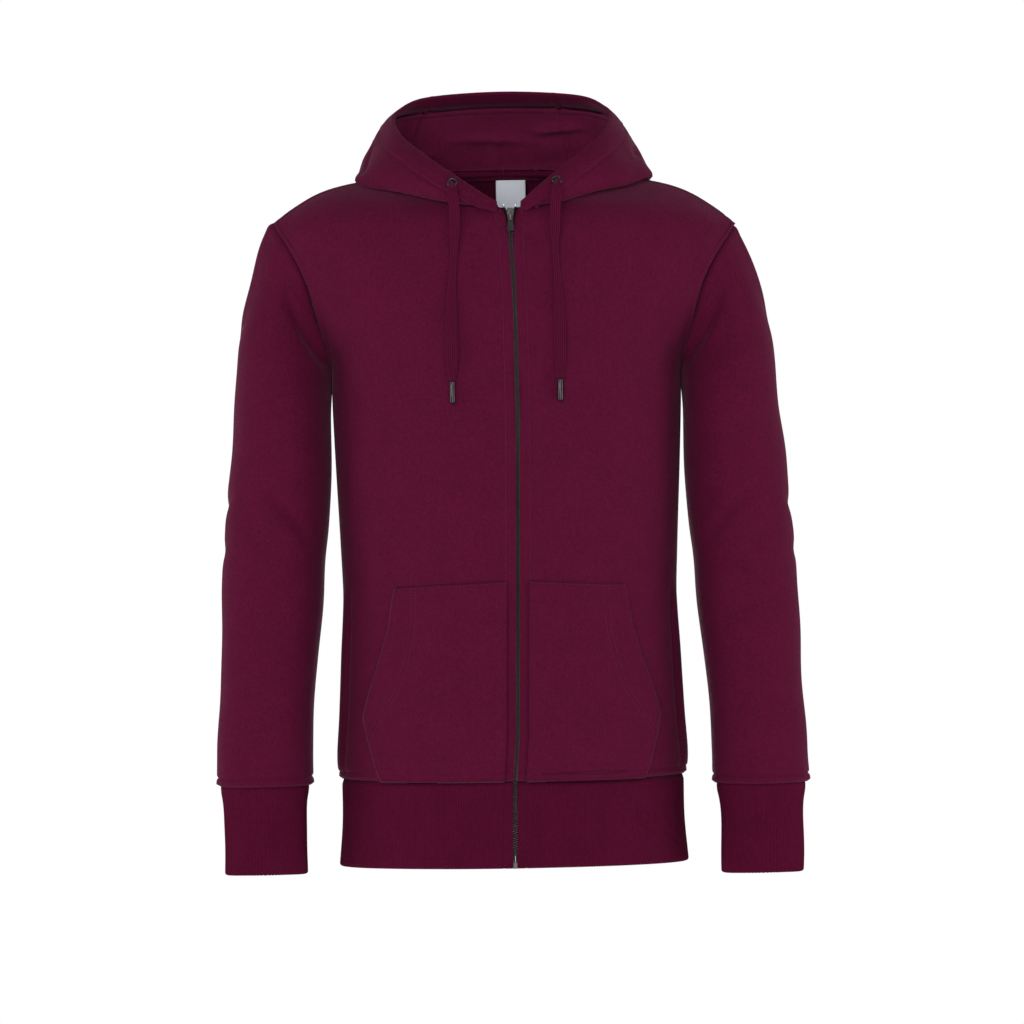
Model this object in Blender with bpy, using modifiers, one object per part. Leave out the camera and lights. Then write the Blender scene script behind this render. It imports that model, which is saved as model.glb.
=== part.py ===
"""A zip-up hooded sweatshirt, filled out as if worn and hollow, with its hood down.

Metres, +Z up.  The front faces -Y, the wearer's left is +X, and the origin is at the middle of
the neck, level with the top of the shoulder seams.
"""
import math

import bmesh
import bpy
from mathutils import Matrix, Vector

for old_object in list(bpy.data.objects):
    bpy.data.objects.remove(old_object, do_unlink=True)

# ---- driving sizes -------------------------------------------------------------------------
CLOTH = 0.0018            # brushed jersey
RIB = 0.0022              # knitted rib of the cuffs and the hem band
TAPE = 0.0010             # woven tape and label
SEAM = 0.0003             # gap between two pieces at a seam
CASING = 0.022            # depth of the drawcord casing turned in at the hood's rim
LINING_STEP = 0.0013      # chamfer where the casing's turned edge ends
NECK_LIFT = 0.0008        # the hood's lower edge over the body's neckline
LINING_NEAR = CLOTH + 2 * SEAM        # the lining lies this far under the hood's face
LINING_FAR = LINING_NEAR + CLOTH

HEM_SEAM_Z = -0.6262
HEM_Z = -0.7165
CUFF_SEAM_Z = -0.6350
CUFF_Z = -0.7260

# ---- tables --------------------------------------------------------------------------------
# Body, one row for each height.  edge: the side seam, then the armhole, then the shoulder seam.
# front_y, back_y: how far the edge swings forward on the front and back on the back panel.
# cf and cb: the centre lines of the front and the back.
#  edge_x   edge_z   front_y back_y  cf_y     cf_z     cb_y    cb_z
BODY = [
    (0.1790, HEM_SEAM_Z, 0.000, 0.000, -0.1165, HEM_SEAM_Z, 0.1110, HEM_SEAM_Z),
    (0.1838, -0.6090, 0.000, 0.000, -0.1215, -0.6090, 0.1165, -0.6090),
    (0.1800, -0.5600, 0.000, 0.000, -0.1240, -0.5600, 0.1180, -0.5600),
    (0.1770, -0.5000, 0.000, 0.000, -0.1235, -0.5000, 0.1165, -0.5000),
    (0.1748, -0.4450, 0.000, 0.000, -0.1225, -0.4450, 0.1140, -0.4450),
    (0.1770, -0.3780, 0.000, 0.000, -0.1245, -0.3780, 0.1130, -0.3780),
    (0.1805, -0.3000, 0.000, 0.000, -0.1260, -0.3000, 0.1140, -0.3000),
    (0.1830, -0.2350, 0.000, 0.000, -0.1255, -0.2350, 0.1150, -0.2350),
    (0.1838, -0.1950, 0.000, 0.000, -0.1240, -0.1920, 0.1155, -0.1900),
    (0.1900, -0.1700, -0.024, 0.019, -0.1220, -0.1620, 0.1160, -0.1580),
    (0.1995, -0.1400, -0.038, 0.031, -0.1190, -0.1330, 0.1150, -0.1270),
    (0.2070, -0.1120, -0.043, 0.036, -0.1155, -0.1080, 0.1125, -0.0980),
    (0.2175, -0.0880, -0.041, 0.035, -0.1120, -0.0880, 0.1080, -0.0700),
    (0.2315, -0.0640, -0.028, 0.024, -0.1080, -0.0690, 0.1020, -0.0430),
    (0.2435, -0.0450, 0.000, 0.000, -0.1040, -0.0530, 0.0945, -0.0200),
    (0.1960, -0.0150, 0.000, 0.000, -0.1010, -0.0430, 0.0865, -0.0040),
    (0.1500, -0.0015, 0.000, 0.000, -0.0990, -0.0370, 0.0805, 0.0050),
    (0.1085, 0.0040, 0.000, 0.000, -0.0980, -0.0329, 0.0750, 0.0120),
]
UNDERARM_ROW, SHOULDER_ROW, NECK_ROW = 8, 14, 17

# Hem band, one row for each height below the hem seam.
#  edge_x   z        cf_y     cb_y
HEM = [
    (0.1790, HEM_SEAM_Z, -0.1165, 0.1110),
    (0.1792, -0.6700, -0.1155, 0.1100),
    (0.1830, HEM_Z, -0.1150, 0.1095),
]

# Zip line: how far right of the middle it runs, and the half gap between the fronts' edges.
#  z        zip_x   edge_gap  teeth_gap
ZIP = [
    (HEM_Z, 0.0011, 0.0024, 0.0003),
    (-0.6262, 0.0025, 0.0024, 0.0003),
    (-0.5790, 0.0058, 0.0024, 0.0003),
    (-0.4800, 0.0075, 0.0024, 0.0003),
    (-0.3780, 0.0092, 0.0024, 0.0003),
    (-0.2500, 0.0112, 0.0024, 0.0003),
    (-0.1570, 0.0104, 0.0024, 0.0003),
    (-0.1140, 0.0095, 0.0024, 0.0003),
    (-0.0660, 0.0070, 0.0024, 0.0003),
    (-0.0530, 0.0070, 0.0034, 0.0004),
    (-0.0430, 0.0070, 0.0052, 0.0016),
    (-0.0370, 0.0068, 0.0078, 0.0030),
    (-0.0329, 0.0062, 0.0110, 0.0050),
]

# Sleeve, one ring for each height.  The first ring is joined to the armhole by a smooth run.
#  z        inner_x  outer_x  half_depth  mid_y
SLEEVE = [
    (-0.2500, 0.1848, 0.2873, 0.0730, 0.0000),
    (-0.3050, 0.1850, 0.2920, 0.0710, -0.0020),
    (-0.3600, 0.1885, 0.2980, 0.0680, -0.0060),
    (-0.4000, 0.1930, 0.3003, 0.0655, -0.0100),
    (-0.4460, 0.1955, 0.3020, 0.0620, -0.0150),
    (-0.5000, 0.2017, 0.3027, 0.0580, -0.0220),
    (-0.5500, 0.2065, 0.3040, 0.0545, -0.0290),
    (-0.6000, 0.2080, 0.3072, 0.0515, -0.0350),
    (-0.6260, 0.2083, 0.3092, 0.0500, -0.0380),
    (CUFF_SEAM_Z, 0.2115, 0.3058, 0.0440, -0.0390),
]
CUFF = [
    (CUFF_SEAM_Z, 0.2115, 0.3058, 0.0440, -0.0390),
    (-0.6560, 0.2150, 0.3024, 0.0355, -0.0400),
    (-0.6900, 0.2163, 0.3016, 0.0330, -0.0420),
    (CUFF_Z, 0.2157, 0.3010, 0.0310, -0.0440),
]

# Hood, one profile for each station from the zip round to the middle of the back.  The neck end
# of each profile is read from the body's neckline at neck_turn: 0 at the shoulder seam, -1 at the
# middle of the front and 1 at the middle of the back.
#  neck_turn  rim                      upper                    wall
#             fold                     under
HOOD = [
    (-1.00, (0.0120, -0.1040, -0.0275), (0.0121, -0.1050, -0.0290), (0.0121, -0.1052, -0.0305),
     (0.0120, -0.1040, -0.0318), (0.0119, -0.1015, -0.0324)),
    (-0.78, (0.0413, -0.0980, -0.0049), (0.0430, -0.1035, -0.0120), (0.0445, -0.1060, -0.0200),
     (0.0450, -0.1040, -0.0280), (0.0425, -0.0985, -0.0302)),
    (-0.52, (0.0790, -0.0720, 0.0235), (0.0880, -0.0800, 0.0110), (0.0955, -0.0840, -0.0045),
     (0.0965, -0.0785, -0.0175), (0.0850, -0.0755, -0.0205)),
    (-0.26, (0.1054, -0.0360, 0.0476), (0.1170, -0.0420, 0.0320), (0.1300, -0.0460, 0.0120),
     (0.1370, -0.0430, -0.0075), (0.1220, -0.0340, -0.0015)),
    (0.00, (0.1147, 0.0100, 0.0667), (0.1290, 0.0090, 0.0470), (0.1455, 0.0080, 0.0230),
     (0.1560, 0.0060, 0.0010), (0.1340, 0.0030, 0.0060)),
    (0.30, (0.1070, 0.0500, 0.0790), (0.1290, 0.0570, 0.0580), (0.1460, 0.0640, 0.0220),
     (0.1450, 0.0740, -0.0140), (0.1220, 0.0540, 0.0085)),
    (0.62, (0.0760, 0.0890, 0.0920), (0.0980, 0.1120, 0.0660), (0.1120, 0.1260, 0.0050),
     (0.1000, 0.1260, -0.0900), (0.0860, 0.0980, -0.0060)),
    (1.00, (0.0000, 0.1150, 0.1025), (0.0000, 0.1520, 0.0650), (0.0000, 0.1700, -0.0200),
     (0.0000, 0.1480, -0.1500), (0.0000, 0.1120, -0.0120)),
]
HOOD_FRONT_SHIFT = 0.0055     # the hood's front ends follow the zip, which runs off the middle
HOOD_STEP = 0.5               # stations between two columns of the hood's wall
EYELETS = {"left": (0.0556, -0.0065), "right": (-0.0526, -0.0075)}      # x and z of each

# Pocket outline on one front, seen from the front: from the zip side outward.
POCKET_ZIP_SIDE = 0.0110      # the zip-side edge's distance from the zip line
POCKET_RISE = 0.0012          # clearance of the pocket over the front
#  z        mouth_x
POCKET = [
    (-0.6238, 0.1374),
    (-0.6090, 0.1420),
    (-0.5790, 0.1500),
    (-0.5590, 0.1535),
    (-0.5340, 0.1455),
    (-0.5070, 0.1362),
    (-0.4680, 0.1245),
    (-0.4225, 0.1178),
]

# Drawcords, one route for each side from the eyelet down to the aglet.
#  x        y        z
CORDS = {
    "left": [
        (0.0557, -0.1140, -0.0140), (0.0547, -0.1163, -0.0235),
        (0.0537, -0.1165, -0.0330), (0.0531, -0.1165, -0.0450), (0.0527, -0.1165, -0.0580),
        (0.0526, -0.1166, -0.0720), (0.0533, -0.1169, -0.0890), (0.0545, -0.1176, -0.1080),
        (0.0556, -0.1191, -0.1280), (0.0562, -0.1211, -0.1480), (0.0562, -0.1225, -0.1680),
        (0.0558, -0.1235, -0.1880), (0.0555, -0.1242, -0.2050), (0.0555, -0.1244, -0.2120),
    ],
    "right": [
        (-0.0527, -0.1142, -0.0150), (-0.0517, -0.1164, -0.0245),
        (-0.0507, -0.1166, -0.0345), (-0.0503, -0.1166, -0.0470), (-0.0507, -0.1166, -0.0600),
        (-0.0515, -0.1167, -0.0750), (-0.0530, -0.1170, -0.0930), (-0.0542, -0.1178, -0.1110),
        (-0.0550, -0.1194, -0.1310), (-0.0552, -0.1213, -0.1500), (-0.0551, -0.1226, -0.1690),
        (-0.0552, -0.1235, -0.1880), (-0.0555, -0.1242, -0.2050), (-0.0557, -0.1245, -0.2130),
    ],
}
CORD_DIAMETER = 0.0060        # round section of the flat cord's own area
CORD_START_GAP, CORD_LEAD = 0.0010, 0.0035    # clear of the eyelet, then straight out of it
AGLET_LENGTH, AGLET_RADIUS = 0.0230, 0.0030

# ---- materials -----------------------------------------------------------------------------
#  name         base colour             roughness  metallic
FINISHES = {
    "fleece": ((0.084, 0.0065, 0.028, 1.0), 0.95, 0.0),
    "rib_knit": ((0.072, 0.0055, 0.024, 1.0), 0.95, 0.0),
    "cord": ((0.070, 0.0060, 0.024, 1.0), 0.90, 0.0),
    "tape": ((0.050, 0.0040, 0.018, 1.0), 0.90, 0.0),
    "label_white": ((0.75, 0.76, 0.80, 1.0), 0.60, 0.0),
    "gunmetal": ((0.080, 0.070, 0.075, 1.0), 0.35, 1.0),
    "nickel": ((0.350, 0.330, 0.330, 1.0), 0.30, 1.0),
}


def make_finish(name):
    colour, roughness, metallic = FINISHES[name]
    material = bpy.data.materials.new(name)
    material.use_nodes = True
    shader = material.node_tree.nodes["Principled BSDF"]
    shader.inputs["Base Color"].default_value = colour
    shader.inputs["Roughness"].default_value = roughness
    shader.inputs["Metallic"].default_value = metallic
    return material


finishes = {name: make_finish(name) for name in FINISHES}
hoodie = bpy.data.collections.new("zip_up_hoodie")
cutters = bpy.data.collections.new("cutters")
for group in (hoodie, cutters):
    bpy.context.scene.collection.children.link(group)


def add_part(name, mesh, finish):
    """Put a mesh in the scene as one named sub-part with its finish."""
    mesh.materials.clear()
    mesh.materials.append(finishes[finish])
    part = bpy.data.objects.new(name, mesh)
    hoodie.objects.link(part)
    return part


# ---- reading the tables --------------------------------------------------------------------
def smooth_between(before, start, end, after, part):
    """Catmull-Rom value between start and end."""
    return 0.5 * (2 * start + (end - before) * part
                  + (2 * before - 5 * start + 4 * end - after) * part ** 2
                  + (3 * start - before - 3 * end + after) * part ** 3)


def read_row(table, place, corner=None):
    """One row of a table at a fractional place, on a smooth curve that may have one corner."""
    low, high = 0, len(table) - 1
    if corner is not None:
        low, high = (low, corner) if place <= corner else (corner, high)
    index = min(max(int(place), low), high - 1)
    part = place - index
    start, end = table[index], table[index + 1]
    before = table[index - 1] if index > low else [2 * a - b for a, b in zip(start, end)]
    after = table[index + 2] if index + 1 < high else [2 * b - a for a, b in zip(start, end)]
    return [smooth_between(*values, part) for values in zip(before, start, end, after)]


def read_at(table, height):
    """Straight-line values of a table whose first column is its height."""
    for low, high in zip(table, table[1:]):
        if min(low[0], high[0]) <= height <= max(low[0], high[0]):
            part = (height - low[0]) / (high[0] - low[0])
            return [a + (b - a) * part for a, b in zip(low[1:], high[1:])]
    return table[0][1:] if abs(height - table[0][0]) < abs(height - table[-1][0]) else table[-1][1:]


# ---- the body's surface --------------------------------------------------------------------
FRONT, BACK = -1, 1


def round_point(edge, middle, turn):
    """Point on the round from a panel's edge (turn 0) to its middle (turn 1)."""
    start = math.asin(min(max(edge.y / middle.y, 0.0), 1.0))
    angle = start + (math.pi / 2 - start) * turn
    rise = (math.sin(angle) - math.sin(start)) / (1 - math.sin(start))
    return Vector((
        middle.x + (edge.x - middle.x) * math.cos(angle) / math.cos(start),
        middle.y * math.sin(angle),
        edge.z + (middle.z - edge.z) * rise ** 1.5))


def body_point(row, turn, side, face):
    """Point on the body's outer face; side is 1 on the wearer's left and -1 on the right."""
    edge_x, edge_z, front_y, back_y, cf_y, cf_z, cb_y, cb_z = read_row(BODY, row, SHOULDER_ROW)
    if face == BACK:
        return round_point(Vector((side * edge_x, back_y, edge_z)), Vector((0, cb_y, cb_z)), turn)
    zip_x, edge_gap, _ = read_at(ZIP, cf_z)
    middle = Vector((zip_x + side * edge_gap, cf_y, cf_z))
    return round_point(Vector((side * edge_x, front_y, edge_z)), middle, turn)


def hem_point(row, turn, side, face):
    edge_x, height, cf_y, cb_y = read_row(HEM, row)
    zip_x, edge_gap, _ = read_at(ZIP, height)
    edge = Vector((side * edge_x, 0, height))
    if face == BACK:
        return round_point(edge, Vector((0, cb_y, height)), turn)
    return round_point(edge, Vector((zip_x + side * edge_gap, cf_y, height)), turn)


def front_under(x, z, side):
    """Point on the front that shows at x and z when seen from straight ahead."""
    low, high = 0.0, float(SHOULDER_ROW)
    for _ in range(40):
        row = (low + high) / 2
        edge, middle = body_point(row, 0, side, FRONT), body_point(row, 1, side, FRONT)
        start = math.asin(min(max(edge.y / middle.y, 0.0), 1.0))
        across = (x - middle.x) / (edge.x - middle.x) * math.cos(start)
        angle = math.acos(min(max(across, 0.0), 1.0))
        point = body_point(row, (angle - start) / (math.pi / 2 - start), side, FRONT)
        if point.z < z:
            low = row
        else:
            high = row
    return point


# ---- cloth walls ---------------------------------------------------------------------------
class Cloth:
    """A panel's outer face as rows of points, and which way its outside lies."""

    def __init__(self, rows, outside, closed=False):
        self.rows = rows
        self.outside = outside
        self.closed = closed
        self.wide = len(rows[0])

    def face_normals(self):
        """Each face's normal, scaled by its area, with its four corner places."""
        last = self.wide if self.closed else self.wide - 1
        for r in range(len(self.rows) - 1):
            for c in range(last):
                corners = ((r, c), (r, (c + 1) % self.wide), (r + 1, (c + 1) % self.wide), (r + 1, c))
                a, b, d, e = (self.rows[i][j] for i, j in corners)
                yield corners, (d - a).cross(e - b) * self.outside


def place_key(point):
    return tuple(round(value, 6) for value in point)


def share_normals(*panels):
    """Outward normal at each point, shared by the panels that meet there."""
    totals = {}
    for panel in panels:
        for corners, normal in panel.face_normals():
            for r, c in corners:
                key = place_key(panel.rows[r][c])
                totals[key] = totals.get(key, Vector((0, 0, 0))) + normal
    return {key: normal.normalized() for key, normal in totals.items()}


def trimmed(rows, closed):
    """The rows with every open edge drawn back by half a seam gap."""
    def toward(point, neighbour):
        return point + (neighbour - point).normalized() * (SEAM / 2)

    result = [list(row) for row in rows]
    if not closed:
        for row in result:
            row[0], row[-1] = toward(row[0], row[1]), toward(row[-1], row[-2])
    result[0] = [toward(a, b) for a, b in zip(result[0], result[1])]
    result[-1] = [toward(a, b) for a, b in zip(result[-1], result[-2])]
    return result


def make_wall(name, panel, normals, near, far, finish):
    """A closed wall between two depths under a panel's face; a depth may be a list by row."""
    count = len(panel.rows)
    near_depths = near if isinstance(near, list) else [near] * count
    far_depths = far if isinstance(far, list) else [far] * count
    outer_rows = trimmed(panel.rows, panel.closed)
    mesh = bmesh.new()

    def layer(depths):
        return [[mesh.verts.new(point - normals[place_key(original)] * depth)
                 for point, original in zip(row, source)]
                for row, source, depth in zip(outer_rows, panel.rows, depths)]

    outer, inner = layer(near_depths), layer(far_depths)
    last = panel.wide if panel.closed else panel.wide - 1
    for r in range(count - 1):
        for c in range(last):
            d = (c + 1) % panel.wide
            mesh.faces.new((outer[r][c], outer[r][d], outer[r + 1][d]))
            mesh.faces.new((outer[r][c], outer[r + 1][d], outer[r + 1][c]))
            mesh.faces.new((inner[r][c], inner[r + 1][d], inner[r][d]))
            mesh.faces.new((inner[r][c], inner[r + 1][c], inner[r + 1][d]))
    for c in range(last):
        d = (c + 1) % panel.wide
        mesh.faces.new((outer[0][c], inner[0][c], inner[0][d], outer[0][d]))
        mesh.faces.new((outer[-1][c], outer[-1][d], inner[-1][d], inner[-1][c]))
    if not panel.closed:
        for r in range(count - 1):
            mesh.faces.new((outer[r][0], outer[r + 1][0], inner[r + 1][0], inner[r][0]))
            mesh.faces.new((outer[r][-1], inner[r][-1], inner[r + 1][-1], outer[r + 1][-1]))
    if panel.outside < 0:
        bmesh.ops.reverse_faces(mesh, faces=mesh.faces)
    data = bpy.data.meshes.new(name)
    mesh.to_mesh(data)
    mesh.free()
    data.shade_smooth()
    data.set_sharp_from_angle(angle=math.radians(40))
    return add_part(name, data, finish)


SIDES = {"left": 1, "right": -1}
PANEL_TURNS = [step / 8 for step in range(9)]
LOWER_ROWS = list(range(UNDERARM_ROW + 1))
ARMHOLE_ROWS = [UNDERARM_ROW + 0.75 * step for step in range(1, 9)]
UPPER_ROWS = list(range(SHOULDER_ROW + 1, NECK_ROW + 1))
BODY_PLACES = LOWER_ROWS + ARMHOLE_ROWS + UPPER_ROWS
HEM_PLACES = [0, 0.5, 1, 1.5, 2]


def panel_rows(point_at, places, side, face):
    return [[point_at(row, turn, side, face) for turn in PANEL_TURNS] for row in places]


def whole_back(point_at, places):
    """Back rows from the wearer's right edge, over the middle, to the left edge."""
    right = panel_rows(point_at, places, -1, BACK)
    left = panel_rows(point_at, places, 1, BACK)
    return [a + b[-2::-1] for a, b in zip(right, left)]


# ---- body panels and hem band --------------------------------------------------------------
fronts = {name: Cloth(panel_rows(body_point, BODY_PLACES, side, FRONT), -side)
          for name, side in SIDES.items()}
back = Cloth(whole_back(body_point, BODY_PLACES), -1)
hem_right = panel_rows(hem_point, HEM_PLACES, -1, FRONT)
hem_left = panel_rows(hem_point, HEM_PLACES, 1, FRONT)
hem_back = whole_back(hem_point, HEM_PLACES)
hem_band = Cloth([a[::-1] + b[1:-1] + c for a, b, c in zip(hem_right, hem_back, hem_left)], -1)

body_normals = share_normals(fronts["left"], fronts["right"], back, hem_band)
for name, panel in fronts.items():
    make_wall(f"front_{name}", panel, body_normals, 0, CLOTH, "fleece")
make_wall("back", back, body_normals, 0, CLOTH, "fleece")
make_wall("hem_band", hem_band, body_normals, 0, RIB, "rib_knit")

# ---- sleeves and cuffs ---------------------------------------------------------------------
AROUND = 16                   # points round a sleeve
ARMHOLE_SET_OFF = 0.0008      # the sleeve starts this far outside the armhole's edge
ARMHOLE_OUT = Vector((0.93, 0.0, -0.37))      # square to the plane of the armhole


def ring_point(ring, turn, side):
    """Point on a level sleeve ring: turn 0 is outside, a quarter is the front, a half inside."""
    height, inner_x, outer_x, half_depth, mid_y = ring
    angle = 2 * math.pi * turn
    x = (inner_x + outer_x) / 2 + (outer_x - inner_x) / 2 * math.cos(angle)
    return Vector((side * x, mid_y - half_depth * math.sin(angle), height))


def armhole_point(turn, side):
    rows = SHOULDER_ROW - UNDERARM_ROW
    if turn <= 0.5:
        edge = body_point(SHOULDER_ROW - rows * turn * 2, 0, side, FRONT)
    else:
        edge = body_point(UNDERARM_ROW + rows * (turn - 0.5) * 2, 0, side, BACK)
    out = ARMHOLE_OUT * ARMHOLE_SET_OFF
    return edge + Vector((side * out.x, 0, out.z))


def cap_point(turn, part, side):
    """Point on the sleeve between the armhole (part 0) and the first ring (part 1)."""
    start, end = armhole_point(turn, side), ring_point(SLEEVE[0], turn, side)
    angle = 2 * math.pi * turn
    outward = 0.30 * (1 + math.cos(angle)) + 0.35 * math.sin(angle) ** 2
    leave = Vector((side * outward, -0.30 * math.sin(angle), -1)).normalized()
    arrive = (ring_point(SLEEVE[1], turn, side) - end).normalized()
    reach = (end - start).length
    a, b = 2 * part ** 3 - 3 * part ** 2 + 1, part ** 3 - 2 * part ** 2 + part
    c, d = 3 * part ** 2 - 2 * part ** 3, part ** 3 - part ** 2
    return start * a + leave * (reach * b) + end * c + arrive * (reach * d)


def sleeve_rows(side):
    turns = [step / AROUND for step in range(AROUND)]
    cap = [[cap_point(turn, part / 5, side) for turn in turns] for part in range(5)]
    return cap + [[ring_point(ring, turn, side) for turn in turns] for ring in SLEEVE]


for name, side in SIDES.items():
    sleeve = Cloth(sleeve_rows(side), side, closed=True)
    turns = [step / AROUND for step in range(AROUND)]
    cuff = Cloth([[ring_point(ring, turn, side) for turn in turns] for ring in CUFF], side, closed=True)
    arm_normals = share_normals(sleeve, cuff)
    make_wall(f"sleeve_{name}", sleeve, arm_normals, 0, CLOTH, "fleece")
    make_wall(f"cuff_{name}", cuff, arm_normals, 0, RIB, "rib_knit")

# ---- hood and its lining -------------------------------------------------------------------
HOOD_ROWS = [[row[0]] + [value for point in row[1:] for value in point] for row in HOOD]
PROFILE_STEPS = 60


def hood_profile(station, side):
    """Closely spaced points of one hood profile from its rim down to the neck seam."""
    turn, *values = read_row(HOOD_ROWS, station)
    shift = HOOD_FRONT_SHIFT * max(0.0, 1 - station / 2) ** 2
    knots = [(side * values[i] + shift, values[i + 1], values[i + 2]) for i in range(0, 15, 3)]
    neck = body_point(NECK_ROW, abs(turn), side, FRONT if turn < 0 else BACK)
    knots.append((neck.x, neck.y, neck.z + NECK_LIFT))
    return [Vector(read_row(knots, 5 * step / PROFILE_STEPS)) for step in range(PROFILE_STEPS + 1)]


def hood_column(station, side):
    """One column of the hood's face: the rim, the casing's end, then even steps to the seam."""
    points = hood_profile(station, side)
    travel = [0.0]
    for a, b in zip(points, points[1:]):
        travel.append(travel[-1] + (b - a).length)
    casing = min(CASING, 0.55 * travel[-1])
    step = min(LINING_STEP, 0.06 * travel[-1])
    stops = [0, casing / 2, casing, casing + step]
    stops += [casing + 2 * step + (travel[-1] - casing - 2 * step) * part / 7 for part in range(8)]
    column = []
    for stop in stops:
        i = max(j for j in range(PROFILE_STEPS) if travel[j] <= stop + 1e-9)
        part = (stop - travel[i]) / (travel[i + 1] - travel[i])
        column.append(points[i].lerp(points[i + 1], part))
    return column


HOOD_STATIONS = [step * HOOD_STEP for step in range(int((len(HOOD) - 1) / HOOD_STEP) + 1)]
LINING_FIRST_COLUMN, LINING_FIRST_ROW = 2, 4
hoods = {}
for name, side in SIDES.items():
    columns = [hood_column(station, side) for station in HOOD_STATIONS]
    hoods[name] = Cloth([list(row) for row in zip(*columns)], -side)
hood_normals = share_normals(*hoods.values())
hood_objects = {}
for name, panel in hoods.items():
    far = [LINING_FAR] * 3 + [CLOTH] * (len(panel.rows) - 3)
    hood_objects[name] = make_wall(f"hood_{name}", panel, hood_normals, 0, far, "fleece")
    lining_rows = [row[LINING_FIRST_COLUMN:] for row in panel.rows[LINING_FIRST_ROW:]]
    lining = Cloth(lining_rows, panel.outside)
    make_wall(f"hood_lining_{name}", lining, hood_normals, LINING_NEAR, LINING_FAR, "fleece")

# ---- neck tape and label -------------------------------------------------------------------
NECK_TAPE_RISE = CLOTH + 0.0006
neck_tape = Cloth(whole_back(body_point, [16.05, 16.5, 16.92]), -1)
neck_tape.rows = [row[1:-1] for row in neck_tape.rows]
neck_tape.wide -= 2
make_wall("neck_tape", neck_tape, share_normals(neck_tape), NECK_TAPE_RISE,
          NECK_TAPE_RISE + TAPE, "tape")

LABEL_X, LABEL_Z, LABEL_Y = (-0.0078, 0.0235), (-0.0300, 0.0040), 0.0752
label = Cloth([[Vector((LABEL_X[0] + (LABEL_X[1] - LABEL_X[0]) * c / 3, LABEL_Y, z)) for c in range(4)]
               for z in (LABEL_Z[0], sum(LABEL_Z) / 2, LABEL_Z[1])], -1)
make_wall("neck_label", label, share_normals(label), 0, TAPE, "label_white")

# ---- pockets -------------------------------------------------------------------------------
for name, side in SIDES.items():
    rows = []
    for height, mouth_x in POCKET:
        zip_x, _, _ = read_at(ZIP, height)
        near_x, far_x = zip_x + side * POCKET_ZIP_SIDE, side * mouth_x
        rows.append([front_under(near_x + (far_x - near_x) * step / 6, height, side)
                     for step in range(7)])
    pocket = Cloth(rows, side)
    make_wall(f"pocket_{name}", pocket, share_normals(pocket), -POCKET_RISE - CLOTH,
              -POCKET_RISE, "fleece")

# ---- zip -----------------------------------------------------------------------------------
WEB_DEPTH = RIB + SEAM        # the tape's web lies this far under the fronts' face
WEB_REACH = 0.0100            # how far the web runs in under the front from its edge
TEETH_WIDTH = 0.0018          # the rolled edge that carries one side's teeth
TAPE_START = 1.84             # place in the hem band where the tape starts above its box


def zip_tape_section(edge, inward, normal, far_normal, edge_gap, teeth_gap):
    """Six corners of one tape's section: its web under the front, then its rolled edge."""
    def at(from_centre, depth, square):
        return edge + inward * (from_centre - edge_gap) - square * depth

    end, foot = edge_gap + WEB_REACH, teeth_gap + TEETH_WIDTH
    return [at(end, WEB_DEPTH + TAPE, far_normal), at(end, WEB_DEPTH, far_normal),
            at(foot, WEB_DEPTH, normal), at(foot, 0, normal),
            at(teeth_gap, 0, normal), at(teeth_gap, WEB_DEPTH + TAPE, normal)]


def zip_tape(name, side):
    lower = panel_rows(hem_point, [TAPE_START, 1.5, 1, 0.5], side, FRONT)
    rows = lower + fronts[name].rows
    sections = []
    normals = share_normals(Cloth(rows, -side))
    for row in rows:
        edge, beside = row[-1], row[-2]
        _, edge_gap, teeth_gap = read_at(ZIP, edge.z)
        normal, other = normals[place_key(edge)], normals[place_key(beside)]
        share = min(1.0, WEB_REACH / (beside - edge).length)
        inward = (beside - edge).normalized()
        sections.append(zip_tape_section(edge, inward, normal, normal.lerp(other, share).normalized(),
                                         edge_gap, teeth_gap))
    mesh = bmesh.new()
    rings = [[mesh.verts.new(point) for point in section] for section in sections]
    for low, high in zip(rings, rings[1:]):
        for c in range(6):
            mesh.faces.new((low[c], low[(c + 1) % 6], high[(c + 1) % 6], high[c]))
    mesh.faces.new(rings[0])
    mesh.faces.new(rings[-1])
    bmesh.ops.recalc_face_normals(mesh, faces=mesh.faces)
    data = bpy.data.meshes.new(name)
    mesh.to_mesh(data)
    mesh.free()
    add_part(f"zip_tape_{name}", data, "tape")


for name, side in SIDES.items():
    zip_tape(name, side)

# The slider and its pull share one frame: X across, Y up the chain and Z out from its face.
SLIDER_PLACE = Vector((0.0070, -0.1004, -0.0410))
SLIDER_PITCH = math.radians(17.4)
slider_frame = Matrix.Translation(SLIDER_PLACE) @ Matrix.Rotation(math.pi / 2 - SLIDER_PITCH, 4, "X")
AXIS_UP, AXIS_OUT = -0.0025, 0.0025           # the pull's pivot bar in the slider's frame


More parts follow.
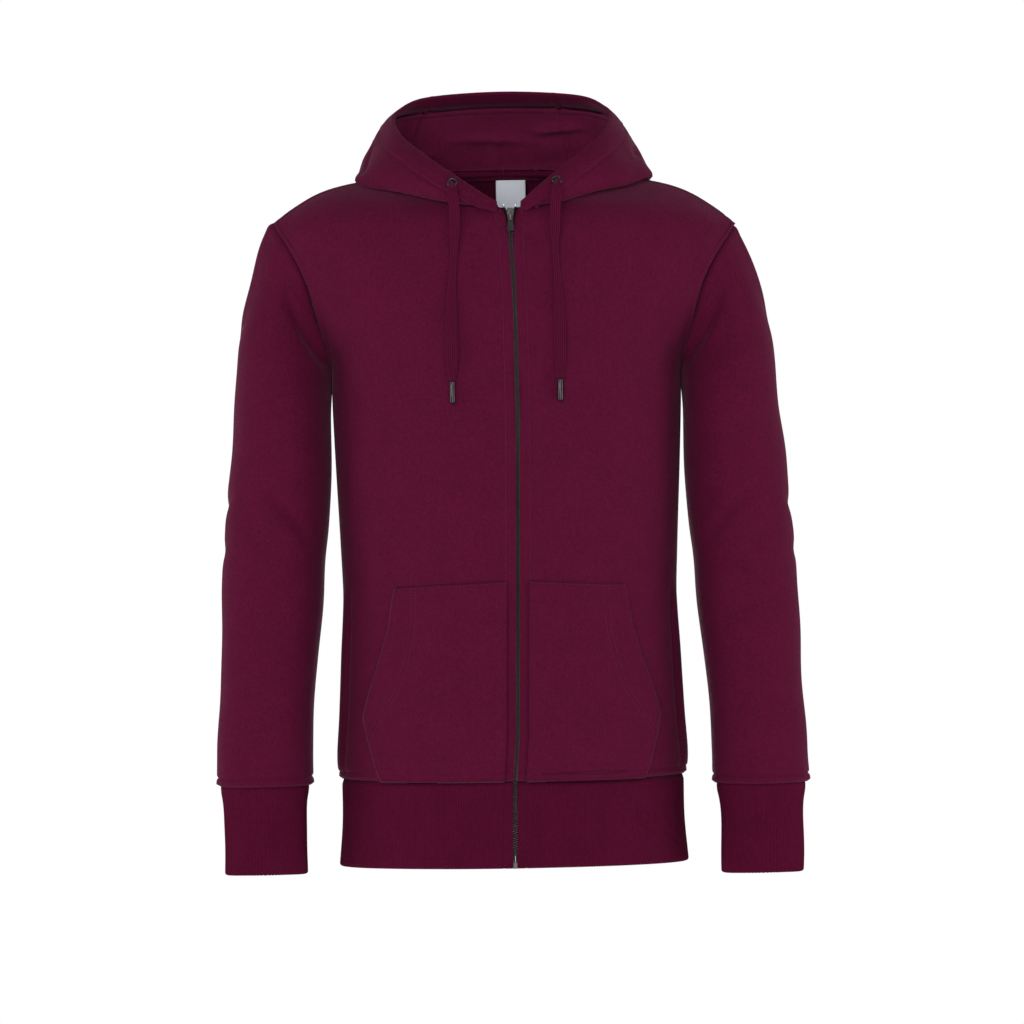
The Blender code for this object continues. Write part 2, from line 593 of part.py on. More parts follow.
def outline_piece(name, outlines, low, high, frame, finish=None):
    """A flat piece cut to one or more outlines, between two heights of a frame."""
    curve = bpy.data.curves.new(name, "CURVE")
    curve.dimensions = "2D"
    curve.fill_mode = "BOTH"
    curve.extrude = (high - low) / 2
    for outline in outlines:
        spline = curve.splines.new("POLY")
        spline.points.add(len(outline) - 1)
        spline.use_cyclic_u = True
        for point, (x, y) in zip(spline.points, outline):
            point.co = (x, y, 0, 1)
    guide = bpy.data.objects.new(name + "_outline", curve)
    bpy.context.scene.collection.objects.link(guide)
    mesh = bpy.data.meshes.new_from_object(guide.evaluated_get(bpy.context.evaluated_depsgraph_get()))
    bpy.data.objects.remove(guide)
    shape = bmesh.new()
    shape.from_mesh(mesh)
    bmesh.ops.remove_doubles(shape, verts=shape.verts, dist=1e-6)
    bmesh.ops.recalc_face_normals(shape, faces=shape.faces)
    shape.transform(frame @ Matrix.Translation((0, 0, (low + high) / 2)))
    shape.to_mesh(mesh)
    shape.free()
    if finish:
        return add_part(name, mesh, finish)
    piece = bpy.data.objects.new(name, mesh)
    cutters.objects.link(piece)
    piece.hide_render = True
    piece.display_type = "WIRE"
    return piece


def arc(x, y, radius, start, end, steps=5):
    angles = [math.radians(start + (end - start) * step / steps) for step in range(steps + 1)]
    return [(x + radius * math.cos(angle), y + radius * math.sin(angle)) for angle in angles]


def combine(target, piece, operation):
    modifier = target.modifiers.new(piece.name, "BOOLEAN")
    modifier.operation = operation
    modifier.object = piece


front_plate = (arc(0.0020, 0.0050, 0.0015, 0, 90) + arc(-0.0020, 0.0050, 0.0015, 90, 180)
               + arc(-0.0016, -0.0052, 0.0013, 180, 270) + arc(0.0016, -0.0052, 0.0013, 270, 360))
back_plate = (arc(0.0020, 0.0035, 0.0015, 0, 90) + arc(-0.0020, 0.0035, 0.0015, 90, 180)
              + arc(-0.0016, -0.0040, 0.0013, 180, 270) + arc(0.0016, -0.0040, 0.0013, 270, 360))
post = [(-0.0010, -0.0005), (0.0010, -0.0005), (0.0010, 0.0032), (-0.0010, 0.0032)]
arch_side = ([(-0.0052, 0.0010), (-0.0040, 0.0010), (-0.0040, 0.0018)]
             + arc(-0.0028, 0.0025, 0.0012, 180, 90, 3) + arc(-0.0008, 0.0025, 0.0012, 90, 0, 3)
             + [(0.0004, 0.0018), (0.0004, 0.0010), (0.0016, 0.0010)]
             + arc(-0.0007, 0.0028, 0.0023, 0, 90, 4) + arc(-0.0029, 0.0028, 0.0023, 90, 180, 4))
side_frame = slider_frame @ Matrix(((0, 0, 1, 0), (1, 0, 0, 0), (0, 1, 0, 0), (0, 0, 0, 1)))
slider = outline_piece("zip_slider", [front_plate], 0.0004, 0.0016, slider_frame, "gunmetal")
combine(slider, outline_piece("slider_back", [back_plate], -0.0049, -0.0039, slider_frame), "UNION")
combine(slider, outline_piece("slider_post", [post], -0.0045, 0.0010, slider_frame), "UNION")
combine(slider, outline_piece("slider_arch", [arch_side], -0.0008, 0.0008, side_frame), "UNION")

pull_frame = slider_frame @ Matrix.Translation((0, AXIS_UP, AXIS_OUT))
pull_outline = (arc(0.0018, -0.0002, 0.0008, 0, 90, 3) + arc(-0.0018, -0.0002, 0.0008, 90, 180, 3)
                + [(-0.0027, -0.0060)] + arc(-0.0022, -0.0150, 0.0015, 180, 270, 4)
                + arc(0.0022, -0.0150, 0.0015, 270, 360, 4) + [(0.0027, -0.0060)])
pull_eye = (arc(0.0010, -0.0012, 0.0006, 90, 0, 3) + arc(0, -0.0038, 0.0016, 0, -180, 8)
            + arc(-0.0010, -0.0012, 0.0006, 180, 90, 3))
outline_piece("zip_pull", [pull_outline, pull_eye], -0.0006, 0.0006, pull_frame, "gunmetal")


def block(name, low, high, finish):
    """A box with softly bevelled edges between two corners."""
    bpy.ops.mesh.primitive_cube_add(size=1, location=(Vector(low) + Vector(high)) / 2)
    piece = bpy.context.active_object
    piece.name = piece.data.name = name
    piece.data.transform(Matrix.Diagonal((*(b - a for a, b in zip(low, high)), 1)))
    for group in list(piece.users_collection):
        group.objects.unlink(piece)
    hoodie.objects.link(piece)
    piece.data.materials.append(finishes[finish])
    bevel = piece.modifiers.new("edges", "BEVEL")
    bevel.width = 0.0003
    bevel.segments = 1
    return piece


BOX_Z = (-0.7160, -0.7094)
box_x = read_at(ZIP, BOX_Z[0])[0]
block("zip_retainer_box", (box_x - 0.0021, -0.1162, BOX_Z[0]), (box_x + 0.0021, -0.1118, BOX_Z[1]),
      "gunmetal")
STOP_RISE, STOP_WIDTH = 0.0020, 0.0022
for name, side in SIDES.items():
    top = fronts[name].rows[-1][-1]
    zip_x, _, teeth_gap = read_at(ZIP, top.z)
    inner = zip_x + side * teeth_gap
    outer = inner + side * STOP_WIDTH
    block(f"zip_top_stop_{name}", (min(inner, outer), top.y - 0.0004, top.z + 0.0005),
          (max(inner, outer), top.y + 0.0020, top.z + 0.0005 + STOP_RISE), "nickel")

# ---- eyelets, drawcords and aglets ---------------------------------------------------------
EYELET_HOLE, EYELET_BARREL, EYELET_CLEAR = 0.0028, 0.0032, 0.00035
EYELET_FRONT, EYELET_BEHIND = 0.0005, LINING_FAR + 0.0013
#  radius          height over the hood's face, running down the outer side
EYELET_PROFILE = [
    (EYELET_HOLE, EYELET_FRONT + 0.0006), (0.0042, EYELET_FRONT + 0.0008),
    (0.0054, EYELET_FRONT + 0.0003), (0.0055, EYELET_FRONT),
    (EYELET_BARREL, EYELET_FRONT), (EYELET_BARREL, -EYELET_BEHIND),
    (0.0044, -EYELET_BEHIND), (0.0044, -EYELET_BEHIND - 0.0005),
    (EYELET_HOLE, -EYELET_BEHIND - 0.0005),
]


def turned(name, profile, frame, finish, steps=20):
    """A ring turned from a closed profile about the frame's Z axis."""
    mesh = bpy.data.meshes.new(name)
    edges = [(i, (i + 1) % len(profile)) for i in range(len(profile))]
    mesh.from_pydata([(radius, 0, height) for radius, height in profile], edges, [])
    piece = add_part(name, mesh, finish)
    piece.matrix_world = frame
    screw = piece.modifiers.new("turn", "SCREW")
    screw.steps = screw.render_steps = steps
    screw.use_merge_vertices = True
    screw.merge_threshold = 0.00001
    return piece


def cord_path(knots, spacing):
    """Points at even spacing on a smooth curve through the knots."""
    fine = [Vector(read_row(knots, step / 12)) for step in range(12 * (len(knots) - 1) + 1)]
    length = sum((b - a).length for a, b in zip(fine, fine[1:]))
    count = round(length / spacing)
    path, travel, target = [fine[0]], 0.0, length / count
    for a, b in zip(fine, fine[1:]):
        travel += (b - a).length
        if travel >= target - 1e-9 and len(path) < count:
            path.append(b)
            target += length / count
    return path + [fine[-1]]


for name, side in SIDES.items():
    hood = hood_objects[name]
    eyelet_x, eyelet_z = EYELETS[name]
    hit, place, normal, _ = hood.ray_cast((eyelet_x, -0.3, eyelet_z), (0, 1, 0))
    eyelet_frame = Matrix.Translation(place) @ normal.to_track_quat("Z", "Y").to_matrix().to_4x4()
    bpy.ops.mesh.primitive_cylinder_add(vertices=24, radius=EYELET_BARREL + EYELET_CLEAR, depth=0.016)
    punch = bpy.context.active_object
    punch.name = f"eyelet_punch_{name}"
    punch.matrix_world = eyelet_frame
    punch.hide_render = True
    punch.display_type = "WIRE"
    for group in list(punch.users_collection):
        group.objects.unlink(punch)
    cutters.objects.link(punch)
    combine(hood, punch, "DIFFERENCE")
    turned(f"eyelet_{name}", EYELET_PROFILE, eyelet_frame, "gunmetal")

    start = place + normal * (EYELET_FRONT + 0.0008 + CORD_START_GAP)
    lead = start + normal * CORD_LEAD
    path = cord_path([tuple(start), tuple(lead)] + CORDS[name], CORD_DIAMETER)
    curve = bpy.data.curves.new(f"drawcord_{name}", "CURVE")
    curve.dimensions = "3D"
    curve.bevel_depth = CORD_DIAMETER / 2
    curve.bevel_resolution = 2
    curve.use_fill_caps = True
    spline = curve.splines.new("POLY")
    spline.points.add(len(path) - 1)
    for point, knot in zip(spline.points, path):
        point.co = (*knot, 1)
    curve.materials.append(finishes["cord"])
    hoodie.objects.link(bpy.data.objects.new(f"drawcord_{name}", curve))

    end = path[-1]
    bpy.ops.mesh.primitive_cylinder_add(vertices=16, radius=AGLET_RADIUS, depth=AGLET_LENGTH,
                                        location=end - Vector((0, 0, AGLET_LENGTH / 2 + SEAM)))
    aglet = bpy.context.active_object
    aglet.name = aglet.data.name = f"aglet_{name}"
    for group in list(aglet.users_collection):
        group.objects.unlink(aglet)
    hoodie.objects.link(aglet)
    aglet.data.materials.append(finishes["gunmetal"])
    bevel = aglet.modifiers.new("edges", "BEVEL")
    bevel.width = 0.0004
    bevel.segments = 2
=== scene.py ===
"""The looks of a zip-up hooded sweatshirt, filled out as if worn, with its hood down.

Metres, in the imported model's frame: the front faces -Y, the wearer's left is +X and +Z is up.
"""
import math

import bpy
import numpy as np
from mathutils import Matrix, Vector
from mathutils.bvhtree import BVHTree


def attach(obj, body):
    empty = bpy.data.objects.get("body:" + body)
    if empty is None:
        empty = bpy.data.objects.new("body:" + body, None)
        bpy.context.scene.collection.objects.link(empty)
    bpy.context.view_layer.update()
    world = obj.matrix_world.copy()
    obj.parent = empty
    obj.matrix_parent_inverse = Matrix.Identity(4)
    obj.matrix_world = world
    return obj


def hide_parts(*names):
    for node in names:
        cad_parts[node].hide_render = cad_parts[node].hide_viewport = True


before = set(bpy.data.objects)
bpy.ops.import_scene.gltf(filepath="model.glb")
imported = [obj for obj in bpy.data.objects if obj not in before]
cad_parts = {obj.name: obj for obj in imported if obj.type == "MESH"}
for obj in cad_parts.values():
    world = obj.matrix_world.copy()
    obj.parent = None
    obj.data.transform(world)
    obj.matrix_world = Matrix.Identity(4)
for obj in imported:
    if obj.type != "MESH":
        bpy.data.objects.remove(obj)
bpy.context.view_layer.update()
BODY_NAME = "hoodie"
SIDES = {"left": 1, "right": -1}

# ---- camera, studio light and floor --------------------------------------------------------
# A long lens level with the waist, as for a catalogue picture, in a plain white room that is dimmer
# overhead: a soft box high to the left of the lens, a wide one below it, a tall one on either side,
# one behind, and a pale floor below.
CAMERA_AWAY = 6.0
CAMERA_AIM = (0.0036, -0.3486)       # x and z of the middle of the view
VIEW_WIDTH = 1.0752                  # what the lens takes in at the garment
CAMERA_ROLL = math.radians(0.95)     # the garment hangs a little aslant
ROOM_LIGHT, ROOM_SEEN = 0.74, 1.0
CEILING_SHADE = 0.75         # how much darker the room is overhead than level with the eye
FLOOR_Z, FLOOR_SIZE = -1.45, 5.0
#  place                size          power
SOFT_BOXES = [
    ((-1.3, -4.6, 0.9), (1.5, 1.5), 72),
    ((0.9, -4.8, -1.1), (3.0, 2.4), 56),
    ((-3.0, -0.7, -0.3), (1.2, 2.6), 34),
    ((3.0, -0.7, -0.3), (1.2, 2.6), 38),
    ((0.0, 3.8, 0.2), (3.2, 2.4), 90),
]

scene = bpy.context.scene
scene.view_settings.view_transform = "Standard"
scene.view_settings.look = "None"
camera = bpy.data.objects.new("camera", bpy.data.cameras.new("camera"))
scene.collection.objects.link(camera)
camera.data.sensor_width = 36
camera.data.lens = camera.data.sensor_width * CAMERA_AWAY / VIEW_WIDTH
camera.location = (CAMERA_AIM[0], -CAMERA_AWAY, CAMERA_AIM[1])
camera.rotation_euler = (math.pi / 2, CAMERA_ROLL, 0)
scene.camera = camera

for place, size, power in SOFT_BOXES:
    lamp = bpy.data.lights.new("soft_box", "AREA")
    lamp.shape = "RECTANGLE"
    lamp.size, lamp.size_y = size
    lamp.energy = power
    soft_box = bpy.data.objects.new("soft_box", lamp)
    soft_box.location = place
    aim = Vector((0, 0, CAMERA_AIM[1])) - Vector(place)
    soft_box.rotation_euler = aim.to_track_quat("-Z", "Y").to_euler()
    scene.collection.objects.link(soft_box)


class Signal:
    """One output socket of a material's nodes; sums and products with it add Math nodes."""

    def __init__(self, tree, socket=None):
        self.tree = tree
        self.socket = socket

    def node(self, kind, settings=(), sockets=(), output=0):
        """Add a node: first its settings, then its sockets' values or links.  Gives one output."""
        made = self.tree.nodes.new("ShaderNode" + kind)
        for name, value in dict(settings).items():
            if name == "stops":
                for stop, (position, shade) in zip(made.color_ramp.elements, value):
                    stop.position, stop.color = position, shade
            else:
                setattr(made, name, value)
        for key, value in dict(sockets).items():
            if isinstance(value, Signal):
                self.tree.links.new(value.socket, made.inputs[key])
            else:
                made.inputs[key].default_value = value
        return Signal(self.tree, made.outputs[output])

    def math(self, operation, *values):
        return self.node("Math", {"operation": operation}, dict(enumerate(values)))

    def between(self, low, high):
        """Colour from low to high as this signal goes from 0 to 1."""
        return self.node("Mix", {"data_type": "RGBA"}, {0: self, 6: low, 7: high}, 2)

    def noise(self, scale, detail=2.0):
        """Noise laid out in the piece's own metres."""
        place = self.node("TexCoord", output=3)
        return self.node("TexNoise", {}, {"Vector": place, "Scale": scale, "Detail": detail})

    def __add__(self, other):
        return self.math("ADD", self, other)

    def __mul__(self, other):
        return self.math("MULTIPLY", self, other)

    def __sub__(self, other):
        return self.math("SUBTRACT", self, other)

    def __rsub__(self, other):
        return self.math("SUBTRACT", other, self)

    __radd__, __rmul__ = __add__, __mul__


def socket_name(word):
    """A shader socket's own name from a Python keyword."""
    return word.replace("_", " ").title().replace("Ior", "IOR")


def new_finish(name, **constants):
    """A material, its shader with the given constant sockets, and a Signal to start nodes from."""
    material = bpy.data.materials.new(name)
    material.use_nodes = True
    shader = material.node_tree.nodes["Principled BSDF"]
    for key, value in constants.items():
        shader.inputs[socket_name(key)].default_value = value
    return material, shader, Signal(material.node_tree)


def plug(shader, **signals):
    """Link signals into a shader's sockets."""
    for key, signal in signals.items():
        signal.tree.links.new(signal.socket, shader.inputs[socket_name(key)])


def emboss(shader, height, strength, distance):
    """Raise and sink a finish's surface by a signal."""
    bump = height.node("Bump", {}, {"Strength": strength, "Distance": distance, "Height": height})
    plug(shader, normal=bump)


def tinted(colour, factor):
    """A colour made lighter or darker by a factor."""
    return (*(channel * factor for channel in colour), 1.0)


world = bpy.data.worlds.new("white_room")
scene.world = world
world.use_nodes = True
room = Signal(world.node_tree)
heading = room.node("SeparateXYZ", {}, {0: room.node("TexCoord")}, 2)
overhead = heading.math("MAXIMUM", heading, 0.0)
room_strength = (1.0 - overhead * CEILING_SHADE) * ROOM_LIGHT
lit = room.node("Background", {}, {"Strength": room_strength, "Color": (1, 1, 1, 1)})
seen = room.node("Background", {}, {"Strength": ROOM_SEEN, "Color": (1, 1, 1, 1)})
choice = room.node("MixShader", {}, {0: room.node("LightPath"), 1: lit, 2: seen})
world.node_tree.links.new(choice.socket, world.node_tree.nodes["World Output"].inputs["Surface"])

floor_paint, floor_shader, paint = new_finish("floor_paint", roughness=0.8)
cloudy = paint.node("TexNoise", {}, {"Scale": 1.5, "Detail": 2.0})
plug(floor_shader, base_color=cloudy.between((0.84, 0.84, 0.84, 1), (0.88, 0.88, 0.88, 1)))
bpy.ops.mesh.primitive_plane_add(size=FLOOR_SIZE, location=(0, 0, FLOOR_Z))
floor = bpy.context.active_object
floor.name = "studio_floor"
floor.data.materials.append(floor_paint)

# ---- back ----------------------------------------------------------------------------------
# One panel of brushed jersey from side seam to side seam, cut with the armholes and sewn to the
# fronts at the sides and the shoulders.  Its lower edge is sewn to the hem band.
CLOTH = 0.0016            # thickness of the jersey as it shows
HEM_SEAM_Z = -0.6262
HEM_Z = -0.7165
# Body, one row for each height.  edge: the side seam, then the armhole, then the shoulder seam.
# front_y, back_y: how far the edge swings forward on the front and back on the back panel.
# cf and cb: the centre lines of the front and the back.
#  edge_x   edge_z   front_y back_y  cf_y     cf_z     cb_y    cb_z
BODY = [
    (0.1790, HEM_SEAM_Z, 0.000, 0.000, -0.1165, HEM_SEAM_Z, 0.1110, HEM_SEAM_Z),
    (0.1838, -0.6090, 0.000, 0.000, -0.1215, -0.6090, 0.1165, -0.6090),
    (0.1800, -0.5600, 0.000, 0.000, -0.1240, -0.5600, 0.1180, -0.5600),
    (0.1770, -0.5000, 0.000, 0.000, -0.1235, -0.5000, 0.1165, -0.5000),
    (0.1748, -0.4450, 0.000, 0.000, -0.1225, -0.4450, 0.1140, -0.4450),
    (0.1770, -0.3780, 0.000, 0.000, -0.1245, -0.3780, 0.1130, -0.3780),
    (0.1805, -0.3000, 0.000, 0.000, -0.1260, -0.3000, 0.1140, -0.3000),
    (0.1830, -0.2350, 0.000, 0.000, -0.1255, -0.2350, 0.1150, -0.2350),
    (0.1838, -0.1950, 0.000, 0.000, -0.1240, -0.1920, 0.1155, -0.1900),
    (0.1900, -0.1700, -0.024, 0.019, -0.1220, -0.1620, 0.1160, -0.1580),
    (0.1995, -0.1400, -0.038, 0.031, -0.1190, -0.1330, 0.1150, -0.1270),
    (0.2070, -0.1120, -0.043, 0.036, -0.1155, -0.1080, 0.1125, -0.0980),
    (0.2175, -0.0880, -0.041, 0.035, -0.1120, -0.0880, 0.1080, -0.0700),
    (0.2315, -0.0640, -0.028, 0.024, -0.1080, -0.0690, 0.1020, -0.0430),
    (0.2435, -0.0450, 0.000, 0.000, -0.1040, -0.0530, 0.0945, -0.0200),
    (0.1960, -0.0150, 0.000, 0.000, -0.1010, -0.0430, 0.0865, -0.0040),
    (0.1500, -0.0015, 0.000, 0.000, -0.0990, -0.0370, 0.0805, 0.0050),
    (0.1085, 0.0040, 0.000, 0.000, -0.0980, -0.0329, 0.0750, 0.0120),
]
UNDERARM_ROW, SHOULDER_ROW, NECK_ROW = 8, 14, 17
SHOULDER_SLANT = 0.0042       # how far the left shoulder is below, and the right above, BODY's
SLANT_FROM_Z, SLANT_RISE = -0.20, 0.15        # where the slant starts, and the rise to its full size


def smooth_between(before, start, end, after, part):
    """Catmull-Rom value between start and end."""
    return 0.5 * (2 * start + (end - before) * part
                  + (2 * before - 5 * start + 4 * end - after) * part ** 2
                  + (3 * start - before - 3 * end + after) * part ** 3)


def read_row(table, place, corner=None):
    """One row of a table at a fractional place, on a smooth curve that may have one corner."""
    low, high = 0, len(table) - 1
    if corner is not None:
        low, high = (low, corner) if place <= corner else (corner, high)
    index = min(max(int(place), low), high - 1)
    part = place - index
    start, end = table[index], table[index + 1]
    before = table[index - 1] if index > low else [2 * a - b for a, b in zip(start, end)]
    after = table[index + 2] if index + 1 < high else [2 * b - a for a, b in zip(start, end)]
    return [smooth_between(*values, part) for values in zip(before, start, end, after)]


def round_point(edge, middle, turn):
    """Point on the round from a panel's edge (turn 0) to its middle (turn 1)."""
    start = math.asin(min(max(edge[1] / middle[1], 0.0), 1.0))
    angle = start + (math.pi / 2 - start) * turn
    rise = (math.sin(angle) - math.sin(start)) / (1 - math.sin(start))
    return (middle[0] + (edge[0] - middle[0]) * math.cos(angle) / math.cos(start),
            middle[1] * math.sin(angle),
            edge[2] + (middle[2] - edge[2]) * rise ** 1.5)


def body_row(place, side):
    """One row of the body, whose left shoulder hangs a little lower than the right."""
    row = read_row(BODY, place, SHOULDER_ROW)
    slant = min(max((row[1] - SLANT_FROM_Z) / SLANT_RISE, 0), 1) * row[0] / BODY[SHOULDER_ROW][0]
    row[1] -= side * SHOULDER_SLANT * slant
    return row


def back_point(place, turn, side):
    """Point on the back, by place in the body's table and turn from its edge to its middle."""
    edge_x, edge_z, _, back_y, _, _, cb_y, cb_z = body_row(place, side)
    return round_point((side * edge_x, back_y, edge_z), (0, cb_y, cb_z), turn)


def across_back(places, turns):
    """Rows of the back, each from its right edge over the middle to its left edge."""
    return [[back_point(place, turn, -1) for turn in turns]
            + [back_point(place, turn, 1) for turn in turns[-2::-1]] for place in places]


def unit(vectors):
    """Vectors made one metre long."""
    return vectors / np.maximum(np.linalg.norm(vectors, axis=-1, keepdims=True), 1e-12)


def travel_along(points, axis=0):
    """Distance from the first point of each line of a grid, along that line."""
    steps = np.linalg.norm(np.diff(points, axis=axis), axis=-1)
    none = np.zeros_like(np.take(steps, [0], axis=axis))
    return np.concatenate([none, np.cumsum(steps, axis=axis)], axis=axis)


def points_at(stops, travel, points):
    """Points at some distances along a line whose own points lie at the distances travelled."""
    return np.stack([np.interp(stops, travel, axis) for axis in points.T], axis=1)


def even_places(point_at, first, last, spacing):
    """Places from first to last at which a curve's points lie evenly apart."""
    fine = np.linspace(first, last, 30 * max(1, round(last - first)) + 1)
    travel = travel_along(np.array([point_at(place) for place in fine]))
    count = max(1, math.ceil(travel[-1] / spacing))
    return list(np.interp(np.linspace(0, travel[-1], count + 1), travel, fine))


def add_piece(name, mesh, finish):
    """A visible piece from its mesh and finish, riding on the garment."""
    mesh.shade_smooth()
    mesh.materials.append(finish)
    piece = bpy.data.objects.new(name, mesh)
    scene.collection.objects.link(piece)
    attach(piece, BODY_NAME)
    return piece


class Panel:
    """A cloth panel's outer face: a grid of points whose rows run up the garment."""

    def __init__(self, rows, outside, closed=False):
        self.points = np.array(rows, float)
        self.outside = outside          # sign that turns the grid's own normals outward
        self.closed = closed            # whether each row runs all round
        self.find_normals()

    def find_normals(self):
        if self.closed:
            across = np.roll(self.points, -1, axis=1) - np.roll(self.points, 1, axis=1)
        else:
            across = np.gradient(self.points, axis=1)
        self.normals = unit(np.cross(across, np.gradient(self.points, axis=0)) * self.outside)

    def lift(self, height):
        """Move each point out by its own height."""
        self.points = self.points + self.normals * height[..., None]
        self.find_normals()

    def inset(self, edge):
        """Each point's distance from one edge, measured in the cloth."""
        axis = 0 if edge in ("bottom", "top") else 1
        travel = travel_along(self.points, axis)
        if edge in ("top", "end"):
            travel = np.take(travel, [-1], axis=axis) - travel
        return travel

    def line(self, edge, distance):
        """Points and normals of the line that runs inside one edge at a distance from it."""
        travel, points, normals = self.inset(edge), self.points, self.normals
        if edge in ("start", "end"):
            travel, points, normals = travel.T, points.swapaxes(0, 1), normals.swapaxes(0, 1)
        if edge in ("top", "end"):
            travel, points, normals = travel[::-1], points[::-1], normals[::-1]
        found = []
        for c in range(travel.shape[1]):
            values = np.concatenate([points[:, c], normals[:, c]], axis=1)
            found.append([np.interp(distance, travel[:, c], value) for value in values.T])
        found = np.array(found + found[:1] if self.closed else found)
        return found[:, :3], found[:, 3:]

    def tree(self):
        """The face as a tree that a line of sight can be cast at."""
        rows, wide = self.points.shape[:2]
        faces = [(r * wide + c, r * wide + c + 1, (r + 1) * wide + c + 1, (r + 1) * wide + c)
                 for r in range(rows - 1) for c in range(wide - 1)]
        return BVHTree.FromPolygons([Vector(point) for point in self.points.reshape(-1, 3)], faces)

    def build(self, name, thickness, finish, slot, hole=None):
        """The piece of this face, with UVs in metres, thickened inward and cut at any holes."""
        rows, wide = self.points.shape[:2]
        last = wide if self.closed else wide - 1
        r, c = (index.ravel() for index in np.mgrid[0:rows - 1, 0:last])
        corners = [(r, c), (r, c + 1), (r + 1, c + 1), (r + 1, c)]
        if self.outside < 0:
            corners.reverse()
        looped = np.concatenate([self.points, self.points[:, :1]], axis=1)
        u, v = travel_along(looped, 1), travel_along(looped, 0)
        faces = np.stack([i * wide + j % wide for i, j in corners], axis=1)
        maps = np.stack([np.stack([u[i, j], v[i, j]], axis=1) for i, j in corners], axis=1)
        if hole:
            middles = self.points.reshape(-1, 3)[faces].mean(axis=1)
            kept = np.all([np.linalg.norm(middles - place, axis=1) > radius
                           for place, radius in hole], axis=0)
            faces, maps = faces[kept], maps[kept]
        mesh = bpy.data.meshes.new(name)
        mesh.from_pydata(self.points.reshape(-1, 3).tolist(), [], faces.tolist())
        mesh.uv_layers.new(name="cloth").data.foreach_set("uv", maps.ravel().tolist())
        piece = add_piece(name, mesh, finish)
        if thickness:
            solidify = piece.modifiers.new("thickness", "SOLIDIFY")
            solidify.thickness = thickness
            solidify.offset = -1
        return piece


def cloth_map(start):
    """Distances across and up the cloth, in metres, from a panel's own UVs."""
    across = start.node("SeparateXYZ", {}, {0: start.node("UVMap", {"uv_map": "cloth"})})
    return across, Signal(across.tree, across.socket.node.outputs[1])


def knit_finish(name, colour, wale, course, relief, sheen):
    """Jersey: upright columns of V-shaped loops, flecked, slightly cloudy and softly napped, with a little
    painted shade in the dips between the columns and loops.
    """
    material, shader, start = new_finish(
        name, roughness=0.95, sheen_weight=sheen, sheen_roughness=0.30,
        sheen_tint=(0.95, 0.42, 0.66, 1), specular_ior_level=0.05)
    across, up = cloth_map(start)
    half = across.math("PINGPONG", across, wale / 2) * (2 / wale)
    loop = start.math("SINE", up * (2 * math.pi / course) - half * 2.6)
    fleck, nap = start.noise(700.0, 3.0), start.noise(2600.0)
    grain, cloud = start.noise(330.0, 4.0), start.noise(38.0, 4.0)
    # Flecks, grain and clouds are the yarn's own tone; the column and loop terms are painted shade, darker
    # where the relief sinks and lighter on its crests.
    shade = fleck * 0.9 + grain * 0.7 + cloud * 0.30 + half * 0.12 + loop * 0.06 - 0.53
    plug(shader, base_color=shade.between(tinted(colour, 0.62), tinted(colour, 1.42)))
    emboss(shader, half * 0.45 + loop * 0.22 + nap * 0.35 + fleck * 0.4, 0.55, relief)
    return material


FLEECE_COLOUR = (0.0735, 0.0040, 0.0222)
fleece = knit_finish("fleece", FLEECE_COLOUR, 0.0011, 0.0009, 0.00040, 0.10)


def crease(across, up, x0, z0, x1, z1, bow, width, depth):
    """Height of one soft crease from one point to another: a ridge, or a trough below 0."""
    length = math.hypot(x1 - x0, z1 - z0)
    along = ((across - x0) * (x1 - x0) + (up - z0) * (z1 - z0)) / length ** 2
    beside = ((across - x0) * (z1 - z0) - (up - z0) * (x1 - x0)) / length
    share = np.clip(along, 0, 1)
    beside = beside - bow * np.sin(math.pi * share)
    return depth * np.sin(math.pi * share) ** 0.8 * np.exp(-(beside / width) ** 2)


FACINGS = {"front": (0, (0, -1, 0)), "back": (0, (0, 1, 0)),
           "left": (1, (1, 0, 0)), "right": (1, (-1, 0, 0))}


def wrinkle(panel, facing, table, mirror=1):
    """Height of a table of creases on the part of a panel that faces one way."""
    axis, outward = FACINGS[facing]
    across, up = panel.points[..., axis] * mirror, panel.points[..., 2]
    facing_share = np.clip(panel.normals @ np.array(outward) * 2.0, 0, 1)
    return sum(crease(across, up, *row) for row in table) * facing_share


def sway(panel, wavelength, height, seed):
    """Slow, uneven swells that run on from one panel to the next."""
    chance = np.random.default_rng(seed)
    total = np.zeros(panel.points.shape[:2])
    for _ in range(7):
        heading = chance.normal(size=3)
        heading *= 2 * math.pi / wavelength * chance.uniform(0.6, 1.5) / np.linalg.norm(heading)
        total += np.sin(panel.points @ heading + chance.uniform(0, 2 * math.pi))
    return total * height / 3.0


def seam_dip(distance, depth=0.0011, width=0.0022):
    """The cloth's fall into a seam, by distance from it."""
    return -depth * np.exp(-(distance / width) ** 2)


def ridge(distance, middle, height, width):
    """A soft ridge that runs at one distance from an edge."""
    return height * np.exp(-((distance - middle) / width) ** 2)


def seam_ridge(distance):
    """The raised, twin-stitched allowance beside a seam, and the dip past it."""
    return (seam_dip(distance, 0.0022, 0.0020) + ridge(distance, 0.0044, 0.0014, 0.0028)
            - ridge(distance, 0.0098, 0.0011, 0.0014))


SEAM_ZONE = 0.85              # places of the body's table beside the hem seam, finely divided
BODY_SPACING, SEAM_SPACING = 0.0042, 0.0011


def side_edge(place):
    """The back's left edge, up the side, the armhole and the shoulder."""
    return back_point(place, 0, 1)


body_places = (even_places(side_edge, 0, SEAM_ZONE, SEAM_SPACING)
               + even_places(side_edge, SEAM_ZONE, SHOULDER_ROW, BODY_SPACING)[1:]
               + even_places(side_edge, SHOULDER_ROW, NECK_ROW, BODY_SPACING)[1:])
evenly = np.linspace(0, 1, 61)
body_turns = 0.68 * evenly + 0.16 * (1 - np.cos(math.pi * evenly))     # closer at both edges
shoulder_row = int(np.argmin(np.abs(np.array(body_places) - SHOULDER_ROW)))
EASED_ROWS, EASING_PASSES = 9, 90      # rows either side of the shoulder, and how often


